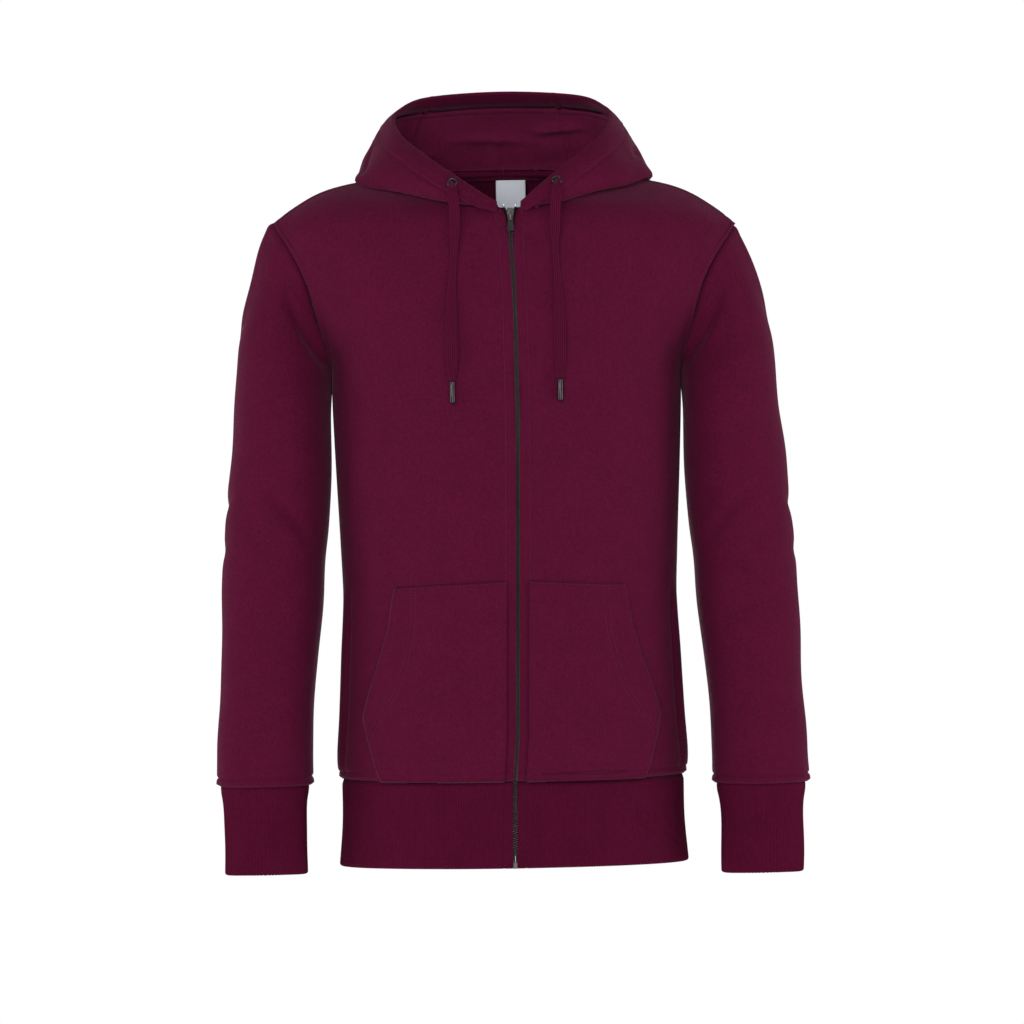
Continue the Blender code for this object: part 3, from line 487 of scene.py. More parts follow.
def eased_over_shoulder(points, from_edge):
    """Soften the bend that a panel's corner at the shoulder would leave across its middle."""
    near = np.exp(-((np.arange(len(points)) - shoulder_row) / EASED_ROWS) ** 2)[1:-1, None]
    free = (0.5 * near * np.clip(from_edge / 0.10, 0, 1)[None, :])[..., None]
    for _ in range(EASING_PASSES):
        points[1:-1] += free * ((points[:-2] + points[2:]) / 2 - points[1:-1])
    return points


# Creases on the back: drag lines from the armholes, and soft folds above the hem.
#  x0      z0      x1      z1      bow     width   depth
BACK_CREASES = [
    (-0.196, -0.150, -0.120, -0.265, 0.008, 0.011, -0.0032),
    (-0.186, -0.205, -0.105, -0.300, 0.006, 0.013, -0.0024),
    (0.196, -0.155, 0.128, -0.250, -0.007, 0.011, -0.0034),
    (0.184, -0.215, 0.098, -0.330, -0.008, 0.014, -0.0022),
    (-0.080, -0.060, 0.020, -0.078, 0.004, 0.012, -0.0020),
    (-0.168, -0.470, -0.060, -0.520, 0.006, 0.012, -0.0026),
    (-0.172, -0.540, -0.020, -0.588, 0.008, 0.013, -0.0030),
    (0.170, -0.455, 0.070, -0.515, -0.006, 0.012, -0.0028),
    (0.172, -0.545, 0.035, -0.580, -0.007, 0.011, -0.0026),
    (-0.110, -0.400, -0.010, -0.430, 0.006, 0.015, -0.0016),
    (0.030, -0.350, 0.125, -0.392, 0.006, 0.015, -0.0016),
]
back_face = np.array(across_back(body_places, body_turns))
both_turns = np.concatenate([body_turns, body_turns[-2::-1]])
back = Panel(eased_over_shoulder(back_face, both_turns), -1)
BODY_SWAY = {"wavelength": 0.16, "height": 0.0016, "seed": 4}


def clear_of_sleeves(panel):
    """1 where a panel may swell, falling to 0 where it faces the sleeves."""
    return np.clip(1.35 - np.abs(panel.normals[..., 0]) * 1.5, 0, 1)


back.lift(sway(back, **BODY_SWAY) * clear_of_sleeves(back) + wrinkle(back, "back", BACK_CREASES)
          + seam_ridge(back.inset("bottom")) + seam_dip(back.inset("start"))
          + seam_dip(back.inset("end")) + seam_dip(back.inset("top")))
cloth_back = back.build("cloth_back", CLOTH, fleece, "fleece")
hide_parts("back")

# ---- stitching -----------------------------------------------------------------------------
# Every seam is topstitched with two rows of matching thread, which sinks a little at each end of
# a stitch.  Each run is one mesh that lies on its panel.
STITCH_PITCH, STITCH_LENGTH, STITCH_RADIUS = 0.0031, 0.0026, 0.00042
thread, thread_shader, twist = new_finish("thread", roughness=0.8, specular_ior_level=0.15)
strand = twist.node("TexWave", {"wave_type": "BANDS"},
                    {"Vector": twist.node("TexCoord", output=3), "Scale": 900.0})
plug(thread_shader, base_color=strand.between((0.085, 0.006, 0.028, 1), (0.118, 0.012, 0.043, 1)))


def repeat_shape(name, shape, faces, places, along, out, finish):
    """One joined mesh of a small shape at many places; its axes are along, across and out."""
    across = np.cross(along, out)
    turned = (shape[None, :, :1] * along[:, None] + shape[None, :, 1:2] * across[:, None]
              + shape[None, :, 2:] * out[:, None] + places[:, None])
    offsets = np.arange(len(places)) * len(shape)
    joined = [tuple(int(i + offset) for i in face) for offset in offsets for face in faces]
    mesh = bpy.data.meshes.new(name)
    mesh.from_pydata(turned.reshape(-1, 3).tolist(), [], joined)
    return add_piece(name, mesh, finish)


def stitch_shape():
    """One stitch: a tapered bead with four sides and pointed, sunken ends."""
    #  along  size  rise
    rings = [(-0.5, 0.0, -1.1), (-0.3, 0.85, 0.2), (0.0, 1.0, 0.5), (0.3, 0.85, 0.2), (0.5, 0.0, -1.1)]
    points = []
    for along, size, rise in rings:
        for k in range(4 if size else 1):
            angle = math.pi / 2 * k
            points.append((along * STITCH_LENGTH, STITCH_RADIUS * size * math.cos(angle),
                           STITCH_RADIUS * (size * math.sin(angle) + rise)))
    sides = [(k, (k + 1) % 4) for k in range(4)]
    last = len(points) - 1
    faces = [(low + a, low + b, low + 4 + b, low + 4 + a) for low in (1, 5) for a, b in sides]
    faces += [(0, 1 + b, 1 + a) for a, b in sides]
    faces += [(last, last - 4 + a, last - 4 + b) for a, b in sides]
    return np.array(points), faces


STITCH, STITCH_FACES = stitch_shape()


def sew(name, runs):
    """Stitches along several runs, each a pair of points and normals, as one piece."""
    places, along, out = [], [], []
    for points, normals in runs:
        travel = travel_along(points)
        count = max(2, round(travel[-1] / STITCH_PITCH))
        stops = (np.arange(count) + 0.5) * travel[-1] / count
        reach = 0.4 * STITCH_PITCH
        heading = unit(points_at(stops + reach, travel, points) - points_at(stops - reach, travel, points))
        facing = points_at(stops, travel, normals)
        places.append(points_at(stops, travel, points))
        along.append(heading)
        out.append(unit(facing - heading * (facing * heading).sum(axis=1, keepdims=True)))
    return repeat_shape(name, STITCH, STITCH_FACES, np.concatenate(places), np.concatenate(along),
                        np.concatenate(out), thread)


HEM_STITCHES = (0.0028, 0.0066)       # the two rows over the hem band, from its seam
sew("stitches_back", [back.line("bottom", distance) for distance in HEM_STITCHES])

# ---- fronts --------------------------------------------------------------------------------
# Two panels that meet at the zip.  Each is folded under along the zip and topstitched there, and
# sewn with two rows of stitches along the armhole.  A deep fold hangs along each side seam.
# Zip line: how far right of the middle it runs, and the half gap between the fronts' edges.
#  z        zip_x   edge_gap  teeth_gap
ZIP = [
    (HEM_Z, 0.0011, 0.0018, 0.0003),
    (-0.6262, 0.0025, 0.0020, 0.0003),
    (-0.5790, 0.0058, 0.0024, 0.0003),
    (-0.4800, 0.0075, 0.0024, 0.0003),
    (-0.3780, 0.0092, 0.0024, 0.0003),
    (-0.2500, 0.0112, 0.0024, 0.0003),
    (-0.1570, 0.0104, 0.0024, 0.0003),
    (-0.1140, 0.0095, 0.0024, 0.0003),
    (-0.0660, 0.0070, 0.0024, 0.0003),
    (-0.0530, 0.0070, 0.0034, 0.0004),
    (-0.0430, 0.0070, 0.0052, 0.0016),
    (-0.0370, 0.0068, 0.0078, 0.0030),
    (-0.0329, 0.0062, 0.0110, 0.0050),
]
ZIP_HEIGHTS, ZIP_X, EDGE_GAP, TEETH_GAP = np.array(ZIP).T
FOLD_RADIUS, FOLD_REACH = 0.0016, 0.006       # the edge folded under beside the zip
PLACKET = 0.0092                              # the zip's topstitching, from the fold
ARMHOLE_STITCHES = (0.0026, 0.0074)           # the two rows round the armhole, from its seam
# Creases on each front, seen from ahead: slack below the armhole and over the pockets.
#  x0      z0      x1      z1      bow     width   depth
FRONT_CREASES = {
    "left": [
        (0.190, -0.170, 0.140, -0.245, 0.005, 0.012, -0.0026),
        (0.182, -0.225, 0.120, -0.300, 0.006, 0.014, -0.0016),
        (0.205, -0.095, 0.135, -0.125, 0.004, 0.013, -0.0014),
        (0.172, -0.395, 0.110, -0.440, -0.006, 0.012, -0.0014),
        (0.020, -0.055, 0.056, -0.068, 0.003, 0.009, -0.0014),
        (0.140, -0.600, 0.050, -0.612, 0.003, 0.008, -0.0010),
    ],
    "right": [
        (0.188, -0.160, 0.146, -0.228, -0.005, 0.012, -0.0024),
        (0.180, -0.215, 0.118, -0.282, 0.006, 0.013, -0.0018),
        (0.204, -0.100, 0.140, -0.138, -0.004, 0.012, -0.0012),
        (0.170, -0.400, 0.118, -0.430, -0.005, 0.012, -0.0016),
        (0.020, -0.055, 0.060, -0.064, 0.003, 0.009, -0.0012),
        (0.130, -0.598, 0.060, -0.615, 0.003, 0.008, -0.0010),
    ],
}
SIDE_FOLD_TOP, SIDE_FOLD_LOW = -0.425, -0.622     # ends of the fold beside each side seam


def zip_at(height):
    """The zip's x, its edge gap and its teeth gap at a height."""
    return [float(np.interp(height, ZIP_HEIGHTS, values)) for values in (ZIP_X, EDGE_GAP, TEETH_GAP)]


def front_point(place, turn, side):
    """Point on a front, by place in the body's table and turn from its edge to the zip."""
    edge_x, edge_z, front_y, _, cf_y, cf_z, _, _ = body_row(place, side)
    zip_x, edge_gap, _ = zip_at(cf_z)
    middle = (zip_x + side * (edge_gap + FOLD_RADIUS * 0.6), cf_y, cf_z)
    return round_point((side * edge_x, front_y, edge_z), middle, turn)


def folded_under(panel, edge, radius, reach):
    """The panel with one edge turned under in a half round and run back by a short reach."""
    points, normals = panel.points, panel.normals
    flip = edge in ("start", "bottom")
    axis = 1 if edge in ("start", "end") else 0
    if axis == 1:
        points, normals = points.swapaxes(0, 1), normals.swapaxes(0, 1)
    if flip:
        points, normals = points[::-1], normals[::-1]
    rim, out = points[-1], normals[-1]
    ahead = unit(rim - points[-2])
    extra = [rim - out * radius + radius * (out * math.cos(angle) + ahead * math.sin(angle))
             for angle in np.linspace(0, math.pi, 7)[1:]]
    return_run = ahead * np.broadcast_to(reach, len(rim))[:, None]
    extra += [extra[-1] - return_run * share for share in (0.5, 1.0)]
    points = np.concatenate([points, np.array(extra)])
    if flip:
        points = points[::-1]
    return Panel(points.swapaxes(0, 1) if axis == 1 else points, panel.outside, panel.closed)


def side_fold(panel):
    """Depth of the fold that hangs beside the side seam, over the hip: a lobe and a trough."""
    height, inset = panel.points[..., 2], panel.inset("start")
    middle, half = (SIDE_FOLD_TOP + SIDE_FOLD_LOW) / 2, (SIDE_FOLD_TOP - SIDE_FOLD_LOW) / 2
    share = np.clip(1 - ((height - middle) / half) ** 4, 0, 1)
    return share * (ridge(inset, 0.020, 0.0030, 0.011) - ridge(inset, 0.0350, 0.0034, 0.0030))


fronts, front_trees = {}, {}
for name, side in SIDES.items():
    face = np.array([[front_point(place, turn, side) for turn in body_turns] for place in body_places])
    front = Panel(eased_over_shoulder(face, body_turns), -side)
    from_fold = front.inset("end")
    below_armhole = front.points[:, :1, 2] < BODY[UNDERARM_ROW][1]
    from_armhole = np.where(below_armhole, np.inf, front.inset("start"))
    front.lift(sway(front, **BODY_SWAY) * clear_of_sleeves(front)
               + wrinkle(front, "front", FRONT_CREASES[name], side)
               + seam_ridge(front.inset("bottom")) + seam_dip(front.inset("start"))
               + seam_dip(front.inset("top")) + side_fold(front)
               + ridge(from_armhole, 0.0045, 0.0010, 0.0028) - ridge(from_armhole, 0.0098, 0.0009, 0.0018)
               + ridge(from_fold, 0.0045, 0.0006, 0.0040) - ridge(from_fold, PLACKET, 0.0007, 0.0014))
    fronts[name] = front
    armhole_rows = [k for k, place in enumerate(body_places) if UNDERARM_ROW <= place <= SHOULDER_ROW]
    runs = [front.line("bottom", distance) for distance in HEM_STITCHES] + [front.line("end", PLACKET)]
    for distance in ARMHOLE_STITCHES:
        points, normals = front.line("start", distance)
        runs.append((points[armhole_rows], normals[armhole_rows]))
    stitches = sew(f"stitches_front_{name}", runs)
    cloth_front = folded_under(front, "end", FOLD_RADIUS, FOLD_REACH).build(
        f"cloth_front_{name}", CLOTH, fleece, "fleece")
    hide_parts(f"front_{name}")
    front_trees[name] = front.tree()

# ---- pockets -------------------------------------------------------------------------------
# A patch pocket on each front: the slanted mouth is hemmed with two rows of stitches, and the
# top, the lower side and the bottom are stitched down.  The zip side goes into the placket.
POCKET_ZIP_SIDE = 0.0108
POCKET_TOP = (-0.4195, -0.4250)       # at the zip side and at the mouth
POCKET_RISE = 0.0034                  # the pocket's face over the front
#  z        mouth_x
POCKET = [
    (-0.6240, 0.1376),
    (-0.6090, 0.1425),
    (-0.5790, 0.1505),
    (-0.5590, 0.1540),
    (-0.5340, 0.1460),
    (-0.5070, 0.1368),
    (-0.4680, 0.1252),
    (-0.4225, 0.1185),
]
MOUTH_LOW_Z = -0.5600                 # the mouth's lower corner
# The mouth's hem, seen from ahead, from the top down.
MOUTH_STITCHES = [(0.0973, -0.4250), (0.0975, -0.4550), (0.1030, -0.4890), (0.1145, -0.5270),
                  (0.1300, -0.5540), (0.1490, -0.5830)]
MOUTH_STITCH_GAP = 0.0050
POCKET_STITCHES = 0.0022              # the other stitching, from the pocket's edge


def seen_on(tree, x, z):
    """Point and normal where a line from straight ahead meets a panel."""
    place, normal, _, _ = tree.ray_cast(Vector((x, -1, z)), Vector((0, 1, 0)))
    return place, normal if normal.y < 0 else -normal


def smooth_route(knots, spacing):
    """Points on a smooth curve through knots, at about an even spacing."""
    fine = np.array([read_row(knots, place) for place in np.linspace(0, len(knots) - 1, 40 * len(knots))])
    travel = travel_along(fine)
    return points_at(np.linspace(0, travel[-1], max(2, round(travel[-1] / spacing))), travel, fine)


def pocket_point(part, share, name, side):
    """Point on a pocket, by its part of the way to the mouth and its share of the way up."""
    top = POCKET_TOP[0] + (POCKET_TOP[1] - POCKET_TOP[0]) * part
    height = POCKET[0][0] + (top - POCKET[0][0]) * share
    near = zip_at(height)[0] + side * POCKET_ZIP_SIDE
    far = side * np.interp(height, pocket_z, pocket_x)
    place, normal = seen_on(front_trees[name], near + (far - near) * part, height)
    return place + normal * POCKET_RISE


pocket_z, pocket_x = np.array(POCKET).T
pocket_across = np.linspace(0, 1, 43) ** 0.93
pocket_up = 0.7 * evenly + 0.15 * (1 - np.cos(math.pi * evenly))
for name, side in SIDES.items():
    pocket = Panel([[pocket_point(part, share, name, side) for part in pocket_across]
                    for share in pocket_up], side)
    mouth = pocket.inset("end")
    open_part = np.clip((pocket.points[..., 2] - MOUTH_LOW_Z) / 0.03, 0, 1)
    open_part *= np.clip((POCKET_TOP[1] - pocket.points[..., 2]) / 0.02, 0, 1)
    pocket.lift(open_part * (ridge(mouth, 0, 0.0016, 0.0200) + ridge(mouth, 0.012, 0.0005, 0.0100))
                + seam_dip(mouth, 0.0013, 0.0014) + seam_dip(pocket.inset("top"), 0.0013, 0.0016)
                - ridge(pocket.inset("top"), 0.0040, 0.0003, 0.0012))
    cloth_pocket = pocket.build(f"cloth_pocket_{name}", CLOTH, fleece, "fleece")
    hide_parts(f"pocket_{name}")
    pocket_tree = pocket.tree()
    side_points, side_normals = pocket.line("end", POCKET_STITCHES)
    closed = side_points[:, 2] < MOUTH_LOW_Z
    runs = [pocket.line("top", POCKET_STITCHES), (side_points[closed], side_normals[closed])]
    for gap in (0, MOUTH_STITCH_GAP):
        route = smooth_route([(x + gap, z) for x, z in MOUTH_STITCHES], 0.004)
        found = [seen_on(pocket_tree, side * x, z) for x, z in route
                 if x < np.interp(z, pocket_z, pocket_x) - 0.001]
        places, normals = zip(*found)
        runs.append((np.array(places), np.array(normals)))
    stitches = sew(f"stitches_pocket_{name}", runs)

# ---- sleeves -------------------------------------------------------------------------------
# A set-in sleeve of the same jersey, one tube from the armhole to the cuff with its seam under
# the arm.  It folds at the armpit and at the elbow, and is stitched to the cuff with two rows.
CUFF_SEAM_Z, CUFF_Z = -0.6350, -0.7260
# Sleeve, one ring for each height.  The first ring is joined to the armhole by a smooth run.
#  z        inner_x  outer_x  half_depth  mid_y
SLEEVE = [
    (-0.2500, 0.1848, 0.2873, 0.0730, 0.0000),
    (-0.3050, 0.1850, 0.2920, 0.0710, -0.0020),
    (-0.3600, 0.1885, 0.2980, 0.0680, -0.0060),
    (-0.4000, 0.1930, 0.3003, 0.0655, -0.0100),
    (-0.4460, 0.1955, 0.3020, 0.0620, -0.0150),
    (-0.5000, 0.2017, 0.3027, 0.0580, -0.0220),
    (-0.5500, 0.2065, 0.3040, 0.0545, -0.0290),
    (-0.6000, 0.2080, 0.3072, 0.0515, -0.0350),
    (-0.6260, 0.2083, 0.3092, 0.0500, -0.0380),
    (CUFF_SEAM_Z, 0.2115, 0.3058, 0.0440, -0.0390),
]
ARMHOLE_IN = (-0.0021, 0.0009)       # x and z by which the sleeve runs under the body's edge
SLEEVE_AROUND, CAP_ROWS, SLEEVE_SPACING = 100, 54, 0.0042
RING_SQUARENESS = 0.86        # 1 for an ellipse, less for a flatter front and back
RIGHT_ARM_SHORTER = 0.0058    # how much higher the right cuff hangs than the left
CUFF_STITCHES = (0.0030, 0.0068)      # the two rows over the cuff, from its seam
# Creases of a sleeve on each face: x or y, then z, of both ends.
#  across0 z0      across1 z1      bow     width   depth
SLEEVE_CREASES = {
    "left": {
        "front": [
            (0.228, -0.116, 0.180, -0.204, -0.003, 0.0062, -0.0056),
            (0.236, -0.150, 0.196, -0.215, -0.005, 0.0110, -0.0018),
            (0.262, -0.319, 0.204, -0.388, 0.006, 0.0075, -0.0042),
            (0.284, -0.352, 0.246, -0.400, 0.004, 0.0090, -0.0016),
            (0.196, -0.330, 0.222, -0.352, 0.003, 0.0080, -0.0016),
            (0.215, -0.430, 0.262, -0.452, 0.004, 0.0100, -0.0014),
            (0.226, -0.596, 0.290, -0.602, 0.003, 0.0060, -0.0014),
        ],
        "back": [
            (0.222, -0.110, 0.186, -0.200, -0.005, 0.0070, -0.0046),
            (0.240, -0.160, 0.200, -0.240, -0.005, 0.0110, -0.0024),
            (0.286, -0.318, 0.212, -0.372, 0.008, 0.0090, -0.0036),
            (0.290, -0.368, 0.214, -0.398, 0.006, 0.0085, -0.0030),
            (0.292, -0.430, 0.226, -0.452, 0.005, 0.0100, -0.0020),
        ],
        "left": [
            (-0.050, -0.330, 0.030, -0.352, 0.006, 0.0090, -0.0026),
            (-0.042, -0.392, 0.034, -0.380, 0.005, 0.0090, -0.0022),
            (-0.020, -0.120, 0.024, -0.170, 0.004, 0.0120, -0.0014),
        ],
    },
    "right": {
        "front": [
            (0.229, -0.114, 0.180, -0.202, -0.003, 0.0062, -0.0060),
            (0.238, -0.160, 0.192, -0.222, -0.005, 0.0110, -0.0016),
            (0.264, -0.312, 0.204, -0.384, 0.006, 0.0075, -0.0044),
            (0.288, -0.340, 0.254, -0.372, 0.004, 0.0090, -0.0014),
            (0.198, -0.352, 0.226, -0.336, 0.003, 0.0080, -0.0014),
            (0.212, -0.412, 0.254, -0.440, 0.004, 0.0090, -0.0018),
            (0.228, -0.600, 0.292, -0.605, 0.003, 0.0060, -0.0016),
        ],
        "back": [
            (0.224, -0.115, 0.187, -0.205, -0.005, 0.0070, -0.0048),
            (0.242, -0.170, 0.202, -0.236, -0.005, 0.0110, -0.0022),
            (0.288, -0.330, 0.214, -0.366, 0.008, 0.0090, -0.0038),
            (0.284, -0.376, 0.216, -0.410, 0.006, 0.0085, -0.0026),
            (0.290, -0.445, 0.230, -0.462, 0.005, 0.0100, -0.0018),
        ],
        "right": [
            (-0.048, -0.322, 0.032, -0.346, 0.006, 0.0090, -0.0028),
            (-0.044, -0.384, 0.030, -0.374, 0.005, 0.0090, -0.0020),
            (-0.022, -0.130, 0.026, -0.176, 0.004, 0.0120, -0.0014),
        ],
    },
}


def ring_point(ring, turn, side):
    """Point on a level ring: turn 0 is outside, a quarter is the front, a half inside."""
    height, inner_x, outer_x, half_depth, mid_y = ring
    angle = 2 * math.pi * turn
    across = math.copysign(abs(math.cos(angle)) ** RING_SQUARENESS, math.cos(angle))
    ahead = math.copysign(abs(math.sin(angle)) ** RING_SQUARENESS, math.sin(angle))
    if side < 0:
        top = SLEEVE[0][0]
        height += RIGHT_ARM_SHORTER * min(max((top - height) / (top - CUFF_Z), 0), 1)
    x = (inner_x + outer_x) / 2 + (outer_x - inner_x) / 2 * across
    return np.array((side * x, mid_y - half_depth * ahead, height))


def armhole_point(turn, side):
    """Point of the sleeve's upper edge, a little inside the body's armhole."""
    rows = SHOULDER_ROW - UNDERARM_ROW
    if turn <= 0.5:
        edge_x, edge_z, edge_y = body_row(SHOULDER_ROW - rows * turn * 2, side)[:3]
    else:
        row = body_row(UNDERARM_ROW + rows * (turn - 0.5) * 2, side)
        edge_x, edge_z, edge_y = row[0], row[1], row[3]
    return np.array((side * (edge_x + ARMHOLE_IN[0]), edge_y, edge_z + ARMHOLE_IN[1]))


def cap_line(turn, parts, side):
    """Points on the sleeve from the armhole (part 0) down to the first ring (part 1)."""
    start, end = armhole_point(turn, side), ring_point(SLEEVE[0], turn, side)
    angle = 2 * math.pi * turn
    outward = 0.30 * (1 + math.cos(angle)) + 0.35 * math.sin(angle) ** 2
    reach = np.linalg.norm(end - start)
    leave = unit(np.array((side * outward, -0.30 * math.sin(angle), -1))) * reach
    arrive = unit(ring_point(SLEEVE[1], turn, side) - end) * reach
    part = parts[:, None]
    return (start * (2 * part ** 3 - 3 * part ** 2 + 1) + leave * (part ** 3 - 2 * part ** 2 + part)
            + end * (3 * part ** 2 - 2 * part ** 3) + arrive * (part ** 3 - part ** 2))


def outer_edge(place):
    return ring_point(read_row(SLEEVE, place), 0, 1)


CUFF_RIDGE_ZONE, CUFF_RIDGE_SPACING = 7.2, 0.0010     # from this place down the rows are close
sleeve_turns = np.arange(SLEEVE_AROUND) / SLEEVE_AROUND
sleeve_places = (even_places(outer_edge, 0, CUFF_RIDGE_ZONE, SLEEVE_SPACING)[1:]
                 + even_places(outer_edge, CUFF_RIDGE_ZONE, len(SLEEVE) - 1, CUFF_RIDGE_SPACING)[1:])
cap_parts = np.linspace(0, 1, CAP_ROWS) ** 1.25
for name, side in SIDES.items():
    cap = np.array([cap_line(turn, cap_parts, side) for turn in sleeve_turns]).swapaxes(0, 1)
    tube = np.array([[ring_point(read_row(SLEEVE, place), turn, side) for turn in sleeve_turns]
                     for place in sleeve_places])
    sleeve = Panel(np.concatenate([cap, tube]), side, closed=True)
    from_armhole, from_cuff = sleeve.inset("bottom"), sleeve.inset("top")
    clear_of_body = np.clip(1.1 + side * sleeve.normals[..., 0] * 1.2, 0, 1)
    height = (sway(sleeve, 0.13, 0.0015, 9) * clear_of_body
              + seam_dip(from_armhole, 0.0026, 0.0030) + ridge(from_armhole, 0.0080, 0.0008, 0.0050)
              + seam_dip(from_cuff, 0.0022, 0.0018) + ridge(from_cuff, 0.0050, 0.0017, 0.0034)
              - ridge(from_cuff, 0.0108, 0.0014, 0.0014))
    for facing, table in SLEEVE_CREASES[name].items():
        height += wrinkle(sleeve, facing, table, side if facing in ("front", "back") else 1)
    sleeve.lift(height)
    stitches = sew(f"stitches_sleeve_{name}", [sleeve.line("top", distance) for distance in CUFF_STITCHES])
    cloth_sleeve = sleeve.build(f"cloth_sleeve_{name}", CLOTH, fleece, "fleece")
    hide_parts(f"sleeve_{name}")

# ---- cuffs ---------------------------------------------------------------------------------
# A tube of knitted rib, doubled over at the hand end, whose ribs run along the arm.  Its raw
# edges are sewn to the sleeve, a little stretched, so that the sleeve stands out over it.
#  z        inner_x  outer_x  half_depth  mid_y
CUFF = [
    (CUFF_SEAM_Z + 0.0022, 0.2112, 0.3061, 0.0440, -0.0389),
    (-0.6560, 0.2150, 0.3024, 0.0355, -0.0400),
    (-0.6900, 0.2163, 0.3016, 0.0330, -0.0420),
    (CUFF_Z, 0.2157, 0.3010, 0.0310, -0.0440),
]
CUFF_ROLL = 0.035             # places by which the last row stops short, for the folded edge
CUFF_RIBS, RIB_COLUMNS = 88, 4
RIB_PITCH, RIB_RELIEF = 0.0026, 0.00032
RIB_FOLD = 0.0024             # radius of the rib's folded edge
RIB_FREE = 0.008              # distance from its seam at which the rib stands free
RIB_COLOUR = (0.0630, 0.0026, 0.0178)
rib_knit = knit_finish("rib_knit", RIB_COLOUR, RIB_PITCH, 0.0011, 0.00045, 0.05)


def pleats(columns, free):
    """Height of the upright ribs, flatter where the rib isn't free of its seam."""
    relief = RIB_RELIEF * np.cos(2 * math.pi * np.arange(columns) / RIB_COLUMNS)
    return relief[None, :] * (0.35 + 0.65 * free)


def doubled_rib(face, relief):
    """A rib wall doubled over at its lower edge: outer face, fold and inner face, with its ribs."""
    rolled = folded_under(face, "top", RIB_FOLD, 0.0)
    inner = face.points[::-1] - face.normals[::-1] * 2 * RIB_FOLD
    points = np.concatenate([rolled.points[:-2], inner[1:], face.points[:1]])
    wall = Panel(points, face.outside, face.closed)
    wall.lift(np.concatenate([relief, np.repeat(relief[-1:], 6, axis=0), relief[::-1][1:], relief[:1]]))
    wall.points[-1] = wall.points[0]
    return wall


def weld(piece, distance):
    """Join a piece's points that lie no further apart than a distance."""
    piece.modifiers.new("weld", "WELD").merge_threshold = distance


def cuff_edge(place):
    return ring_point(read_row(CUFF, place), 0, 1)


WALL_JOIN = 0.000005          # joins the rows where the two faces of a rib wall meet
cuff_places = even_places(cuff_edge, 0, len(CUFF) - 1, 0.0052)
cuff_places[-1] -= CUFF_ROLL
cuff_columns = CUFF_RIBS * RIB_COLUMNS
for name, side in SIDES.items():
    cuff = Panel([[ring_point(read_row(CUFF, place), column / cuff_columns, side)
                   for column in range(cuff_columns)] for place in cuff_places], side, closed=True)
    free = np.clip(cuff.inset("bottom") / RIB_FREE, 0, 1)
    cuff.lift(sway(cuff, 0.07, 0.0008, 12) * free - 0.0016 * (1 - free))
    cuff = doubled_rib(cuff, pleats(cuff_columns, free))
    knit_cuff = cuff.build(f"knit_cuff_{name}", 0, rib_knit, "rib_knit")
    weld(knit_cuff, WALL_JOIN)
    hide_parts(f"cuff_{name}")

# ---- hem band ------------------------------------------------------------------------------
# One band of the same rib, doubled over at the hem, which runs round the body from one side of
# the zip to the other and draws the body in a little.
#  edge_x   z        cf_y     cb_y
HEM = [
    (0.1790, HEM_SEAM_Z + 0.0016, -0.1163, 0.1109),
    (0.1792, -0.6700, -0.1155, 0.1100),
    (0.1830, HEM_Z, -0.1150, 0.1095),
]


def hem_point(place, turn, side, face):
    """Point on the band's front or back, by place in its table and turn from the side."""
    edge_x, height, cf_y, cb_y = read_row(HEM, place)
    zip_x, edge_gap, _ = zip_at(height)
    middle = {"front": (zip_x + side * (edge_gap + 0.0006), cf_y, height), "back": (0, cb_y, height)}
    return round_point((side * edge_x, 0, height), middle[face], turn)


def hem_row(place, count):
    """One level line of the band from the zip's right side round the back to its left side."""
    line = []
    for side, face, step in ((-1, "front", -1), (-1, "back", 1), (1, "back", -1), (1, "front", 1)):
        quarter = [hem_point(place, turn, side, face) for turn in np.linspace(0, 1, 60)[::step]]
        line += quarter[1:] if line else quarter
    line = np.array(line)
    travel = travel_along(line)
    return points_at(np.linspace(0, travel[-1], count), travel, line)


HEM_RIBS = 356
HEM_ROLL = 0.060              # places by which the last row stops short, for the folded edge
hem_columns = HEM_RIBS * RIB_COLUMNS + 1
hem_places = np.linspace(0, len(HEM) - 1, 15)
hem_places[-1] -= HEM_ROLL
hem = Panel([hem_row(place, hem_columns) for place in hem_places], 1)
from_seam = hem.inset("bottom")
from_zip = np.minimum(hem.inset("start"), hem.inset("end"))
free = np.clip(from_seam / RIB_FREE, 0, 1)
hem.lift(sway(hem, **BODY_SWAY) * free * clear_of_sleeves(hem) + seam_dip(from_seam, 0.0018, 0.0030)
         - ridge(from_zip, PLACKET, 0.0007, 0.0012))
hem_stitches = sew("stitches_hem", [hem.line(edge, PLACKET) for edge in ("start", "end")])
knit_hem = doubled_rib(hem, pleats(hem_columns, free)).build("knit_hem_band", 0, rib_knit, "rib_knit")
weld(knit_hem, WALL_JOIN)
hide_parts("hem_band")

# ---- hood ----------------------------------------------------------------------------------
# Two layers of jersey cut in three panels, lying open on the shoulders.  The outer layer is
# turned in at the rim as a casing for the cord, and stitched down along the casing's edge.
CASING = 0.022                # depth of the casing turned in at the rim
NECK_LIFT = 0.0008            # the hood's lower edge over the body's neckline
NECK_TURN_IN, NECK_TURN_DOWN = 0.0020, 0.0045      # its allowance, turned down inside the neck
HOOD_SHIFT = 0.0055           # the hood's front ends follow the zip, which runs off the middle
RIM_RADIUS, HOOD_CLOTH = 0.0023, 0.0015
